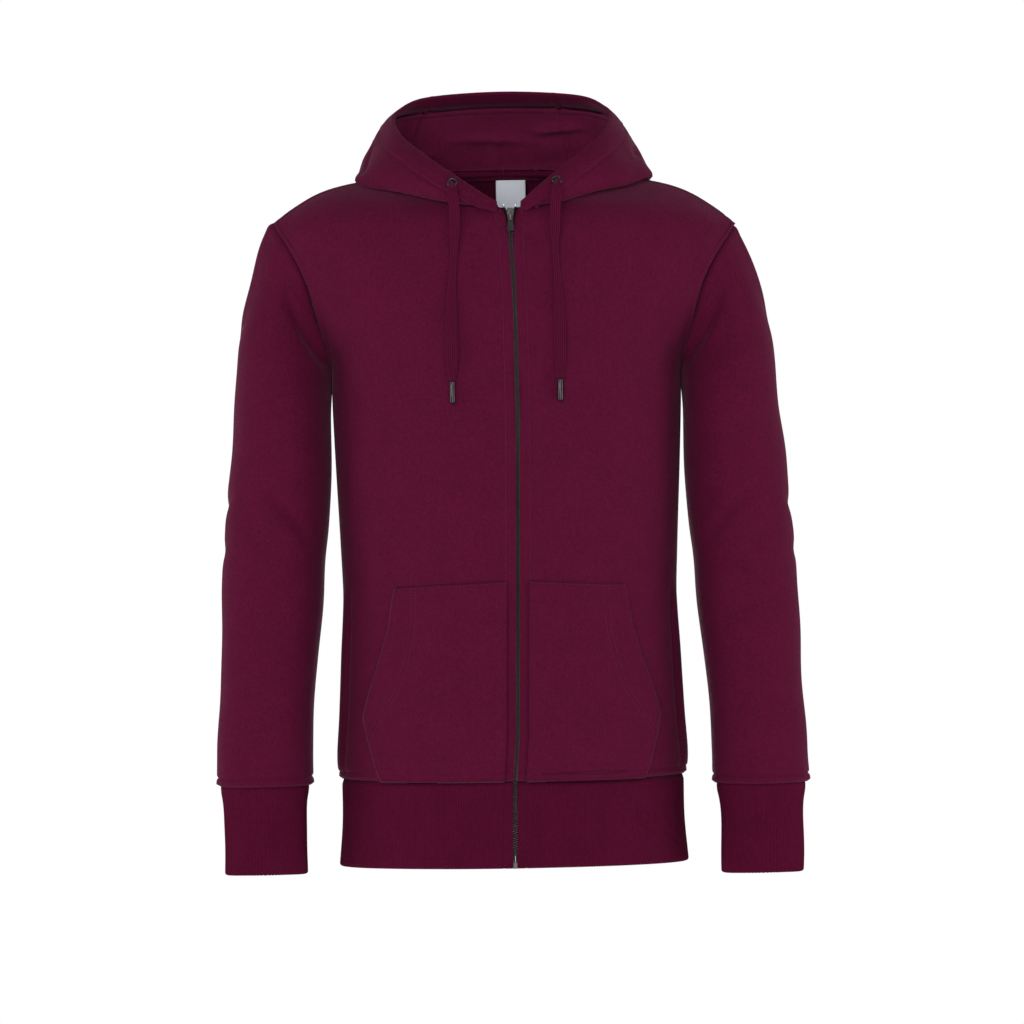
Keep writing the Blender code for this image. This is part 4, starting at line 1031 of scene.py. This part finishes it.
# One profile for each station from the zip round to the middle of the back.  The neck end of each
# is read from the body's neckline: 0 at the shoulder seam, -1 in front and 1 at the back.
#  neck_turn  rim                      upper                    wall
#             fold                     under
HOOD = [
    (-1.00, (0.0120, -0.1040, -0.0275), (0.0121, -0.1050, -0.0290), (0.0121, -0.1052, -0.0305),
     (0.0120, -0.1040, -0.0318), (0.0119, -0.1015, -0.0324)),
    (-0.78, (0.0413, -0.0980, -0.0049), (0.0430, -0.1035, -0.0120), (0.0445, -0.1060, -0.0200),
     (0.0450, -0.1040, -0.0280), (0.0425, -0.0985, -0.0302)),
    (-0.52, (0.0790, -0.0720, 0.0235), (0.0880, -0.0800, 0.0110), (0.0955, -0.0840, -0.0045),
     (0.0965, -0.0785, -0.0175), (0.0850, -0.0755, -0.0205)),
    (-0.26, (0.1054, -0.0360, 0.0476), (0.1170, -0.0420, 0.0320), (0.1300, -0.0460, 0.0120),
     (0.1370, -0.0430, -0.0075), (0.1220, -0.0340, -0.0015)),
    (0.00, (0.1147, 0.0100, 0.0667), (0.1290, 0.0090, 0.0470), (0.1455, 0.0080, 0.0230),
     (0.1560, 0.0060, 0.0010), (0.1340, 0.0030, 0.0060)),
    (0.30, (0.1085, 0.0500, 0.0808), (0.1290, 0.0570, 0.0580), (0.1460, 0.0640, 0.0220),
     (0.1450, 0.0740, -0.0140), (0.1220, 0.0540, 0.0085)),
    (0.62, (0.0795, 0.0890, 0.0958), (0.0980, 0.1120, 0.0660), (0.1120, 0.1260, 0.0050),
     (0.1000, 0.1260, -0.0900), (0.0860, 0.0980, -0.0060)),
    (1.00, (0.0000, 0.1150, 0.1025), (0.0000, 0.1520, 0.0650), (0.0000, 0.1700, -0.0200),
     (0.0000, 0.1480, -0.1500), (0.0000, 0.1120, -0.0120)),
]
EYELETS = {"left": (0.0556, -0.0065), "right": (-0.0526, -0.0075)}      # x and z of each
EYELET_CUT = 0.0038           # radius of the hole in the cloth
BACK_STATION = len(HOOD) - 1
one_side = [[row[0]] + [value for point in row[1:] for value in point] for row in HOOD]
mirrored = [[value * (-1 if k % 3 == 1 else 1) for k, value in enumerate(row)]
            for row in one_side[-2::-1]]
hood_ring = one_side + mirrored               # stations from the zip's left round to its right


def hood_profile(station):
    """Close points of one profile from the rim to the neck seam, with the distance along it."""
    turn, *values = read_row(hood_ring, station)
    turn = min(turn, 1.0)
    side, own = (1, station) if station <= BACK_STATION else (-1, 2 * BACK_STATION - station)
    shift = HOOD_SHIFT * max(0.0, 1 - own / 2) ** 2
    knots = [(x + shift, y, z) for x, y, z in zip(values[0::3], values[1::3], values[2::3])]
    neck = (front_point(NECK_ROW, -turn, side) if turn < 0 else back_point(NECK_ROW, turn, side))
    inward = 1 - NECK_TURN_IN / math.hypot(neck[0], neck[1])
    knots += [(neck[0], neck[1], neck[2] + NECK_LIFT),
              (neck[0] * inward, neck[1] * inward, neck[2] - NECK_TURN_DOWN)]
    points = np.array([read_row(knots, place) for place in np.linspace(0, len(knots) - 1, 73)])
    return points, travel_along(points)


def hood_columns(stations, stops_for):
    """Rows of a hood surface; stops_for gives the distances from the rim for a whole length."""
    columns = []
    for station in stations:
        points, travel = hood_profile(station)
        columns.append(points_at(stops_for(travel[-1]), travel, points))
    return np.array(columns).swapaxes(0, 1)


def outer_stops(length):
    """Distances from the rim: close over the casing, wider from there to the neck."""
    casing = min(CASING + 0.006, 0.6 * length)
    start = min(RIM_RADIUS, 0.15 * length)
    return np.concatenate([np.linspace(start, casing, 18), np.linspace(casing, length, 48)[1:]])


def rim_line(station):
    return hood_profile(station)[0][0]


hood_stations = even_places(rim_line, 0, 2 * BACK_STATION, 0.0036)
# Folds of the hood, by the station and by the distance from the rim: along it, then across it.
#  station0 from_rim0 station1 from_rim1 bow   width   depth
HOOD_FOLDS = [
    (3.55, 0.040, 4.35, 0.060, 0.10, 0.0060, -0.0044),
    (3.10, 0.062, 4.10, 0.078, 0.10, 0.0065, 0.0022),
    (4.60, 0.030, 5.40, 0.070, 0.00, 0.0090, -0.0040),
    (5.30, 0.090, 6.20, 0.150, 0.00, 0.0130, -0.0046),
    (6.10, 0.060, 6.90, 0.085, 0.00, 0.0120, -0.0034),
    (9.90, 0.036, 10.55, 0.058, -0.10, 0.0062, -0.0048),
    (10.0, 0.066, 10.95, 0.074, 0.00, 0.0065, 0.0022),
    (8.60, 0.072, 9.60, 0.034, 0.00, 0.0090, -0.0036),
    (7.70, 0.150, 8.70, 0.095, 0.00, 0.0130, -0.0044),
    (7.20, 0.180, 8.00, 0.210, 0.00, 0.0130, -0.0036),
    (6.20, 0.205, 7.10, 0.190, 0.00, 0.0120, -0.0030),
]
STATION_SIZE = 0.052          # metres along the rim for one station


def hood_folds(stations, from_rim, table):
    """Height of creases laid out by station and by distance from the rim."""
    across = np.broadcast_to(np.array(stations)[None, :] * STATION_SIZE, from_rim.shape)
    return sum(crease(across, from_rim, s0 * STATION_SIZE, r0, s1 * STATION_SIZE, r1,
                      bow * STATION_SIZE, width, depth)
               for s0, r0, s1, r1, bow, width, depth in table)


PANEL_SEAMS = (6.36, 7.92)    # stations of the two seams that run over the hood


def panel_seams(surface, stations):
    """The dips of the hood's two long seams."""
    travel = travel_along(surface.points, 1)
    height = np.zeros(surface.points.shape[:2])
    for seam in PANEL_SEAMS:
        middle = np.array([np.interp(seam, stations, row) for row in travel])[:, None]
        gap = np.abs(travel - middle)
        height += seam_dip(gap, 0.0010, 0.0018) + ridge(gap, 0.0050, 0.0005, 0.0030)
    return height


def hood_relief(surface, stations, from_rim, from_neck):
    """Height of the swells and folds that both layers of the hood share."""
    room = np.clip(from_neck / 0.02, 0, 1)
    return (sway(surface, 0.10, 0.0016, 21) * np.clip(from_rim / 0.02, 0, 1)
            + hood_folds(stations, from_rim, HOOD_FOLDS)) * room


hood = Panel(hood_columns(hood_stations, outer_stops), -1)
from_rim, from_neck = hood.inset("bottom"), hood.inset("top")
hood.lift(hood_relief(hood, hood_stations, from_rim, from_neck)
          + panel_seams(hood, hood_stations) * np.clip(from_rim / 0.008, 0, 1)
          + ridge(from_rim, 0.010, 0.0007, 0.008) - ridge(from_rim, CASING, 0.0009, 0.0015)
          + seam_dip(from_neck))
hood_tree = hood.tree()
eyelet_places = {name: seen_on(hood_tree, x, z) for name, (x, z) in EYELETS.items()}
casing_reach = np.minimum(CASING - RIM_RADIUS, 0.7 * from_neck[0] - RIM_RADIUS)
hood_outline = folded_under(hood, "bottom", RIM_RADIUS, np.maximum(casing_reach, 0.0005))
cloth_hood = hood_outline.build(
    "cloth_hood", HOOD_CLOTH, fleece, "fleece",
    hole=[(np.array(place), EYELET_CUT) for place, _ in eyelet_places.values()])
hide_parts("hood_left", "hood_right")
hood_stitches = sew("stitches_hood", [hood.line("bottom", CASING - RIM_RADIUS)])

# ---- hood lining ---------------------------------------------------------------------------
# The inner layer of the hood, of the same jersey, but coloured lighter than the fleece: painted light
# that makes up for the shade inside the hood.  It starts under the casing's edge, where two rows of
# stitches hold it, and runs down into the neck seam.
LINING_DEPTH = 0.0040         # the lining's inner face under the hood's outer face
LINING_CLOTH = 0.0012
LINING_TUCK = 0.003           # how far the lining runs up under the casing
LINING_STITCHES = (0.0072, 0.0102)        # the casing's two rows, from the lining's upper edge
# Painted light: the jersey's colour made far lighter than the fleece's, to make up for the shade inside
# the hood.
LINING_COLOUR_WITH_PAINTED_LIGHT = (0.1320, 0.0104, 0.0440)
# Creases seen inside the hood, by station and by distance from the rim.
LINING_FOLDS = [
    (4.80, 0.042, 5.22, 0.112, 0.10, 0.0040, 0.0100),
    (5.52, 0.044, 6.10, 0.104, -0.10, 0.0048, 0.0100),
    (5.70, 0.092, 7.00, 0.112, 0.10, 0.0056, 0.0080),
    (6.10, 0.046, 6.70, 0.058, 0.05, 0.0040, 0.0080),
    (6.60, 0.068, 7.60, 0.062, 0.00, 0.0046, 0.0044),
    (7.05, 0.045, 7.10, 0.130, 0.00, 0.0034, 0.0028),
    (7.60, 0.076, 8.60, 0.092, 0.05, 0.0056, 0.0056),
    (8.40, 0.046, 8.82, 0.112, 0.10, 0.0044, 0.0088),
    (8.98, 0.036, 9.44, 0.106, 0.00, 0.0038, 0.0120),
    (9.30, 0.044, 9.70, 0.086, 0.05, 0.0040, 0.0050),
    (6.40, 0.104, 7.90, 0.116, 0.00, 0.0070, 0.0080),
]


def lining_stops(length):
    """Distances from the rim: closest below the casing, where the folds are."""
    start = min(CASING - LINING_TUCK, 0.5 * length)
    near = min(CASING + 0.014, 0.7 * length)
    fine = min(near + 0.110, 0.5 * (near + length))
    return np.concatenate([np.linspace(start, near, 11), np.linspace(near, fine, 46)[1:],
                           np.linspace(fine, length - 0.0050, 34)[1:]])


LINING_ENDS = 0.45            # stations that the lining stops short of the zip
lining_stations = even_places(rim_line, LINING_ENDS, 2 * BACK_STATION - LINING_ENDS, 0.0024)
face = Panel(hood_columns(lining_stations, lining_stops), -1)
from_tuck, from_neck = face.inset("bottom"), face.inset("top")
from_rim = from_tuck + CASING - LINING_TUCK
own_folds = sway(face, 0.08, 0.0012, 33) + hood_folds(lining_stations, from_rim, LINING_FOLDS)
inward = (LINING_DEPTH + np.maximum(own_folds, -0.0014) * np.clip(from_neck / 0.03, 0, 1)
          - hood_relief(face, lining_stations, from_rim, from_neck)
          + panel_seams(face, lining_stations) + seam_dip(from_tuck, 0.0004, 0.0040)
          + ridge(from_tuck, 0.0085, 0.0009, 0.0030) - ridge(from_tuck, 0.0120, 0.0009, 0.0018))
lining = Panel(face.points - face.normals * inward[..., None], 1)
lining_runs = [lining.line("bottom", distance) for distance in LINING_STITCHES]
for seam in PANEL_SEAMS:
    column = int(np.argmin(np.abs(np.array(lining_stations) - seam)))
    for beside in (-1, 1):
        lining_runs.append((lining.points[4:, column + beside], lining.normals[4:, column + beside]))
# The lining's finish: the hood's jersey in the lighter colour of painted light.
lining_jersey_with_painted_light = knit_finish("lining_jersey_with_painted_light", LINING_COLOUR_WITH_PAINTED_LIGHT, 0.0010, 0.0008, 0.00045, 0.12)
cloth_lining = lining.build("cloth_hood_lining", LINING_CLOTH, lining_jersey_with_painted_light, "fleece_lining")
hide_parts("hood_lining_left", "hood_lining_right")
lining_stitches = sew("stitches_hood_lining", lining_runs)

# ---- neck tape and label -------------------------------------------------------------------
# A woven tape covers the neck seam inside the back.  Below it hangs a plain white woven label,
# sewn in by its top edge and left blank.
TAPE_COLOUR = (0.105, 0.0065, 0.0340)
TAPE_PLACES = (16.06, 16.92)          # the tape's lower and upper edge, in places of the body
TAPE_IN, TAPE_STITCHES = 0.0037, 0.0014       # under the back's face, and in from the tape's edges
LABEL_X, LABEL_Z, LABEL_Y = (-0.0078, 0.0235), (-0.0300, 0.0040), 0.0742


def woven_finish(name, colour, thread_width, contrast, roughness):
    """A plain weave: over and under threads, with a little unevenness in their colour, and painted shade
    where the threads sink under.
    """
    material, shader, start = new_finish(name, roughness=roughness, specular_ior_level=0.10)
    across, up = cloth_map(start)
    over, under = (start.math("SINE", way * (2 * math.pi / thread_width)) for way in (across, up))
    weave = over * under * 0.5 + 0.5
    # The noise is the threads' own uneven tone; the weave term is painted shade and highlight, darker
    # where the threads sink and lighter where they rise.
    shade = weave * 0.5 + start.noise(400.0) * 0.5
    plug(shader, base_color=shade.between(tinted(colour, 1 - contrast), tinted(colour, 1 + contrast)))
    emboss(shader, weave, 0.5, 0.0002)
    return material


tape_weave = woven_finish("tape_weave", TAPE_COLOUR, 0.0009, 0.25, 0.85)
zip_weave = woven_finish("zip_weave", (0.0200, 0.0030, 0.0085), 0.0009, 0.25, 0.85)
label_weave = woven_finish("label_weave", (0.88, 0.91, 1.00), 0.0005, 0.04, 0.65)

tape_face = Panel(across_back(np.linspace(*TAPE_PLACES, 9), np.linspace(0.03, 1, 60)), -1)
neck_tape = Panel(tape_face.points - tape_face.normals * TAPE_IN, 1)
neck_tape.lift(sum(seam_dip(neck_tape.inset(edge), 0.0006, 0.0012) for edge in ("bottom", "top")))
tape_runs = [neck_tape.line(edge, TAPE_STITCHES) for edge in ("bottom", "top")]
woven_tape = neck_tape.build("woven_neck_tape", 0.0008, tape_weave, "neck_tape")
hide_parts("neck_tape")
tape_stitches = sew("stitches_neck_tape", tape_runs)

across, up = np.meshgrid(np.linspace(0, 1, 25), np.linspace(0, 1, 27))
label_y = LABEL_Y - 0.0016 * (1 - up) ** 2 + 0.0040 * (across - 0.5) ** 2      # hangs in, and cups
label = Panel(np.stack([LABEL_X[0] + (LABEL_X[1] - LABEL_X[0]) * across, label_y,
                        LABEL_Z[0] + (LABEL_Z[1] - LABEL_Z[0]) * up], axis=2), 1)
from_hem = label.inset("bottom")
label.lift(seam_dip(from_hem, 0.0004, 0.0010) + ridge(from_hem, 0.0052, 0.0002, 0.0016)
           + sway(label, 0.03, 0.0003, 5))
woven_label = label.build("woven_label", 0.0005, label_weave, "label_white")
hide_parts("neck_label")

# ---- zip -----------------------------------------------------------------------------------
# Two woven tapes sewn in behind the folded fronts, with metal teeth clamped along their inner
# edges.  They part above the slider, up to a stop on each tape, and end in a box at the hem.
TOOTH_PITCH = 0.0024
TOOTH_DEPTH = 0.0015          # middle of a tooth under the fronts' face
TAPE_DEPTH, TAPE_REACH = 0.0032, 0.0120
TAPE_LOW_Z, TAPE_BEND_Z, TAPE_HIGH_Z = HEM_Z + 0.0012, -0.0660, -0.0330
TEETH_LOW_Z, TEETH_HIGH_Z = -0.7105, -0.0345
SLIDER_TOP_Z, SLIDER_LOW_Z = -0.0352, -0.0462


def metal_finish(name, dark, light, roughness):
    """Cast metal with a thin plating: faint clouds in its colour and polish, and fine scuffs."""
    material, shader, start = new_finish(name, metallic=1.0)
    cloud = start.noise(320.0, 3.0)
    plug(shader, base_color=cloud.between((*dark, 1), (*light, 1)), roughness=cloud * 0.2 + roughness)
    emboss(shader, start.noise(2400.0), 0.25, 0.00008)
    return material


teeth_metal = metal_finish("teeth_metal", (0.085, 0.080, 0.083), (0.150, 0.143, 0.147), 0.13)
gunmetal = metal_finish("gunmetal", (0.045, 0.040, 0.043), (0.085, 0.078, 0.082), 0.20)
slider_metal = metal_finish("slider_metal", (0.16, 0.15, 0.15), (0.25, 0.24, 0.235), 0.16)
nickel = metal_finish("nickel", (0.42, 0.40, 0.39), (0.58, 0.56, 0.55), 0.18)

# The garment's middle in front, as heights and depths, from the hem up to the neck.
band_line = [read_row(HEM, place)[1:3] for place in np.linspace(len(HEM) - 1, 0, 30)]
chest_line = [read_row(BODY, place, SHOULDER_ROW)[5:3:-1] for place in np.linspace(0, NECK_ROW, 240)[1:]]
front_z, front_y = np.array(sorted(band_line + chest_line)).T


def zip_frames(heights, side, spread):
    """Points on one side of the zip at a spread from its middle, and its up and out directions."""
    y, x = np.interp(heights, front_z, front_y), np.interp(heights, ZIP_HEIGHTS, ZIP_X)
    points = np.stack([x + side * spread, y, heights], axis=1)
    up = unit(np.gradient(points, axis=0))
    out = unit(np.cross(up, np.array((-1.0, 0, 0))))
    return points, up, out * np.sign(-out[:, 1:2])


def tooth_shape(side):
    """A tooth: a shank round the tape's edge and a narrower rounded head past the middle."""
    #  across   half_up   half_out
    profile = [(0.0022, 0.00036, 0.00096), (0.0019, 0.00048, 0.00122), (0.0011, 0.00048, 0.00122),
               (0.0002, 0.00038, 0.00104), (-0.0005, 0.00030, 0.00078), (-0.0008, 0.00018, 0.00045)]
    points, faces = [], []
    for across, half_up, half_out in profile:
        for k in range(8):
            angle = 2 * math.pi * (k + 0.5) / 8
            square = 1 / max(abs(math.cos(angle)), abs(math.sin(angle))) ** 0.7
            points.append((half_up * square * math.cos(angle), across,
                           half_out * square * math.sin(angle)))
    for ring in range(len(profile) - 1):
        low = 8 * ring
        faces += [(low + k, low + (k + 1) % 8, low + 8 + (k + 1) % 8, low + 8 + k) for k in range(8)]
    faces += [tuple(range(7, -1, -1)), tuple(range(len(points) - 8, len(points)))]
    points = np.array(points)
    points[:, 1] *= side
    return points, [face[::-side] if side < 0 else face for face in faces]


for name, side in SIDES.items():
    heights = np.linspace(TEETH_LOW_Z, TEETH_HIGH_Z, 2000)
    gap = np.interp(heights, ZIP_HEIGHTS, TEETH_GAP)
    line, _, _ = zip_frames(heights, side, gap)
    travel = travel_along(line)
    count = int(travel[-1] / TOOTH_PITCH)
    stops = (np.arange(count) + (0.25 if side > 0 else 0.75)) * TOOTH_PITCH
    tooth_z = np.interp(stops, travel, heights)
    tooth_z = tooth_z[(tooth_z < SLIDER_LOW_Z) | (tooth_z > SLIDER_TOP_Z - 0.004)]
    gap = np.interp(tooth_z, ZIP_HEIGHTS, TEETH_GAP)
    places, up, out = zip_frames(tooth_z, side, gap)
    shape, faces = tooth_shape(side)
    teeth = repeat_shape(f"zip_teeth_{name}", shape, faces, places - out * TOOTH_DEPTH, up, out,
                         teeth_metal)

    tape_z = np.concatenate([np.linspace(TAPE_LOW_Z, TAPE_BEND_Z, 150),
                             np.linspace(TAPE_BEND_Z, TAPE_HIGH_Z, 14)[1:]])
    gap = np.interp(tape_z, ZIP_HEIGHTS, TEETH_GAP)
    edge = np.interp(tape_z, ZIP_HEIGHTS, EDGE_GAP)
    columns = []
    for part in np.linspace(0, 1, 9):
        spread = gap + 0.0006 + (edge + TAPE_REACH - gap) * part
        points, up, out = zip_frames(tape_z, side, spread)
        sink = TAPE_DEPTH * min(1.0, 0.45 + part * 4) + 0.0010 * part
        columns.append(points - out * sink)
    tape = Panel(np.array(columns).swapaxes(0, 1), side)
    zip_tape = tape.build(f"woven_zip_tape_{name}", 0.0008, zip_weave, "zip_tape")
    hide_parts(f"zip_tape_{name}")


def soften(node, finish, width):
    """A CAD piece kept as it is, with its edges eased and its finish put on."""
    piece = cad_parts[node]
    weld(piece, 0.000002)
    bevel = piece.modifiers.new("eased_edges", "BEVEL")
    bevel.width = width
    bevel.segments = 2
    bevel.limit_method = "ANGLE"
    bevel.angle_limit = math.radians(35)
    piece.data.materials.clear()
    piece.data.materials.append(finish)


soften("zip_slider", slider_metal, 0.00022)
soften("zip_pull", gunmetal, 0.00022)
soften("zip_retainer_box", gunmetal, 0.00025)
for name in SIDES:
    soften(f"zip_top_stop_{name}", nickel, 0.00020)

# ---- eyelets -------------------------------------------------------------------------------
# A pressed metal ring in the casing on each side, with a domed flange in front, through which the
# drawcord comes out.
EYELET_HOLE, EYELET_OUT, EYELET_DOME, EYELET_BACK = 0.0031, 0.0055, 0.0012, 0.0040


def turned_piece(name, profile, frame_matrix, finish, steps=48):
    """A piece turned round the frame's Z axis from points of radius and height."""
    turns = [2 * math.pi * k / steps for k in range(steps)]
    points = [(radius * math.cos(turn), radius * math.sin(turn), height)
              for radius, height in profile for turn in turns]
    faces = []
    for ring in range(len(profile)):
        low, high = ring * steps, (ring + 1) % len(profile) * steps
        faces += [(low + k, low + (k + 1) % steps, high + (k + 1) % steps, high + k) for k in range(steps)]
    mesh = bpy.data.meshes.new(name)
    mesh.from_pydata([frame_matrix @ Vector(point) for point in points], [], faces)
    piece = add_piece(name, mesh, finish)
    mesh.set_sharp_from_angle(angle=math.radians(50))
    return piece


def eyelet_profile():
    """Up the hole, over the domed flange and down its outer side, then back inside the barrel."""
    middle, half = (EYELET_HOLE + EYELET_OUT) / 2, (EYELET_OUT - EYELET_HOLE) / 2
    dome = [(middle - half * math.cos(angle), 0.0003 + EYELET_DOME * math.sin(angle))
            for angle in np.linspace(0, math.pi, 11)]
    return ([(EYELET_HOLE, -EYELET_BACK)] + dome
            + [(EYELET_OUT - 0.0003, -0.0003), (EYELET_HOLE + 0.0004, -0.0004),
               (EYELET_HOLE + 0.0004, -EYELET_BACK)])


for name, (place, normal) in eyelet_places.items():
    eyelet_frame = Matrix.Translation(place) @ normal.to_track_quat("Z", "Y").to_matrix().to_4x4()
    eyelet = turned_piece(f"pressed_eyelet_{name}", eyelet_profile()[::-1], eyelet_frame,
                          gunmetal)
    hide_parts(f"eyelet_{name}")

# ---- drawcords and their tips --------------------------------------------------------------
# A flat braided cord hangs from each eyelet, bunched where it comes out, spread flat on the
# chest and folded on itself part of the way down.  Its end is crimped into a metal tip.
# One route for each side from the eyelet down to the tip.
#  x        y        z
CORDS = {
    "left": [
        (0.0557, -0.1140, -0.0140), (0.0547, -0.1163, -0.0235),
        (0.0537, -0.1165, -0.0330), (0.0531, -0.1165, -0.0450), (0.0527, -0.1165, -0.0580),
        (0.0526, -0.1166, -0.0720), (0.0533, -0.1169, -0.0890), (0.0545, -0.1176, -0.1080),
        (0.0556, -0.1191, -0.1280), (0.0562, -0.1211, -0.1480), (0.0562, -0.1225, -0.1680),
        (0.0558, -0.1235, -0.1880), (0.0555, -0.1242, -0.2050), (0.0555, -0.1244, -0.2120),
    ],
    "right": [
        (-0.0527, -0.1142, -0.0150), (-0.0517, -0.1164, -0.0245),
        (-0.0507, -0.1166, -0.0345), (-0.0503, -0.1166, -0.0470), (-0.0507, -0.1166, -0.0600),
        (-0.0515, -0.1167, -0.0750), (-0.0530, -0.1170, -0.0930), (-0.0542, -0.1178, -0.1110),
        (-0.0550, -0.1194, -0.1310), (-0.0552, -0.1213, -0.1500), (-0.0551, -0.1226, -0.1690),
        (-0.0552, -0.1235, -0.1880), (-0.0555, -0.1242, -0.2050), (-0.0557, -0.1245, -0.2130),
    ],
}
CORD_START, CORD_LEAD, CORD_INSIDE = 0.0016, 0.0020, -0.0020      # heights over the hood's face
CORD_LOW = 0.0013             # how low in the eyelet the cord comes out
# How the flat cord lies, by distance from its start: width, thickness and turn in degrees.
#  distance width   thickness turn
CORD_LIE = [
    (0.000, 0.0040, 0.0028, 0),
    (0.008, 0.0056, 0.0028, 0),
    (0.020, 0.0106, 0.0019, 4),
    (0.055, 0.0104, 0.0019, -6),
    (0.078, 0.0064, 0.0030, 14),
    (0.105, 0.0066, 0.0030, 18),
    (0.138, 0.0116, 0.0019, 4),
    (0.192, 0.0122, 0.0019, -5),
    (0.203, 0.0090, 0.0026, 0),
    (0.211, 0.0048, 0.0042, 0),
]
CORD_SIDES = 22
BRAID_WIDTH, BRAID_STEP = 0.0011, 0.0016      # one run of the herringbone, and one strand along it
TIP_LENGTH, TIP_RADIUS = 0.0230, 0.0030
TIP_OVERLAP = 0.0003          # how far the tip starts up the cord


def cord_finish():
    """A flat tubular braid: slanting strands that cross in a herringbone, its colour mostly painted shade,
    dark in the braid's grooves and light on its crests.
    """
    material, shader, start = new_finish("braided_cord", roughness=0.9, sheen_weight=0.05,
                                         sheen_roughness=0.3, specular_ior_level=0.05)
    across, up = cloth_map(start)
    rib = across.math("PINGPONG", across, BRAID_WIDTH) * (1 / BRAID_WIDTH)
    strand = across.math("SINE", up * (2 * math.pi / BRAID_STEP) + rib * 2.8)
    # The noise is the yarn's own tone; the rib and strand terms are painted shade and highlight, dark in
    # the grooves and light on the crests.
    shade = rib * 0.75 + strand * 0.15 + start.noise(500.0) * 0.30
    plug(shader, base_color=shade.between((0.040, 0.0014, 0.0110, 1), (0.098, 0.0050, 0.0300, 1)))
    emboss(shader, rib * 0.7 + strand * 0.3, 0.9, 0.0007)
    return material


braided_cord = cord_finish()


def flat_cord(name, route):
    """A flat cord along a route, with a rounded section that widens, folds and turns."""
    ahead = unit(np.gradient(route, axis=0))
    travel = travel_along(route)
    distance, *lie = np.array(CORD_LIE).T
    lie = [np.interp(travel, distance * travel[-1] / distance[-1], values) for values in lie]
    soft = np.ones(7) / 7
    width, thick, turn = (np.convolve(np.pad(values, 3, "edge"), soft, "valid") for values in lie)
    across = unit(np.cross(ahead, np.array((0, -1.0, 0))))
    out = np.cross(across, ahead)
    turn = np.radians(turn)[:, None]
    across, out = (across * np.cos(turn) + out * np.sin(turn), out * np.cos(turn) - across * np.sin(turn))
    angles = 2 * math.pi * np.arange(CORD_SIDES) / CORD_SIDES
    flat_out = np.sign(np.sin(angles)) * np.abs(np.sin(angles)) ** 0.6
    rows = (route[:, None] + across[:, None] * (width[:, None] / 2 * np.cos(angles))[..., None]
            + out[:, None] * (thick[:, None] / 2 * flat_out)[..., None])
    ends = [route[[end], None] + (rows[[end]] - route[[end], None]) * 0.02 for end in (0, -1)]
    rows = np.concatenate([ends[0], rows, ends[1]])
    return Panel(rows, 1, closed=True).build(name, 0, braided_cord, "cord")


def tip_profile():
    """From the middle of the top, down the crimped barrel, to the rounded lower end."""
    return [(0.0002, 0), (0.0024, 0), (0.0028, -0.0004), (0.0029, -0.0012), (0.00265, -0.0030),
            (0.00265, -0.0036), (TIP_RADIUS, -0.0052), (TIP_RADIUS, -TIP_LENGTH + 0.0030),
            (0.00290, -TIP_LENGTH + 0.0016), (0.0025, -TIP_LENGTH + 0.0006),
            (0.0018, -TIP_LENGTH + 0.0001), (0.0002, -TIP_LENGTH)]


tip_metal = metal_finish("tip_metal", (0.030, 0.026, 0.028), (0.055, 0.050, 0.052), 0.10)
for name in SIDES:
    place, normal = eyelet_places[name]
    low = Vector((0, 0, -CORD_LOW))
    lead = [tuple(place + low + normal * height)
            for height in (CORD_INSIDE, CORD_START, CORD_START + CORD_LEAD)]
    route = smooth_route(lead + CORDS[name], 0.0020)
    tip = turned_piece(f"cord_tip_{name}", tip_profile()[::-1],
                       Matrix.Translation(Vector(route[-1]) - Vector((0, 0, TIP_OVERLAP))),
                       tip_metal, 32)
    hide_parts(f"aglet_{name}")
    cord = flat_cord(f"flat_drawcord_{name}", route)
    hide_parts(f"drawcord_{name}")
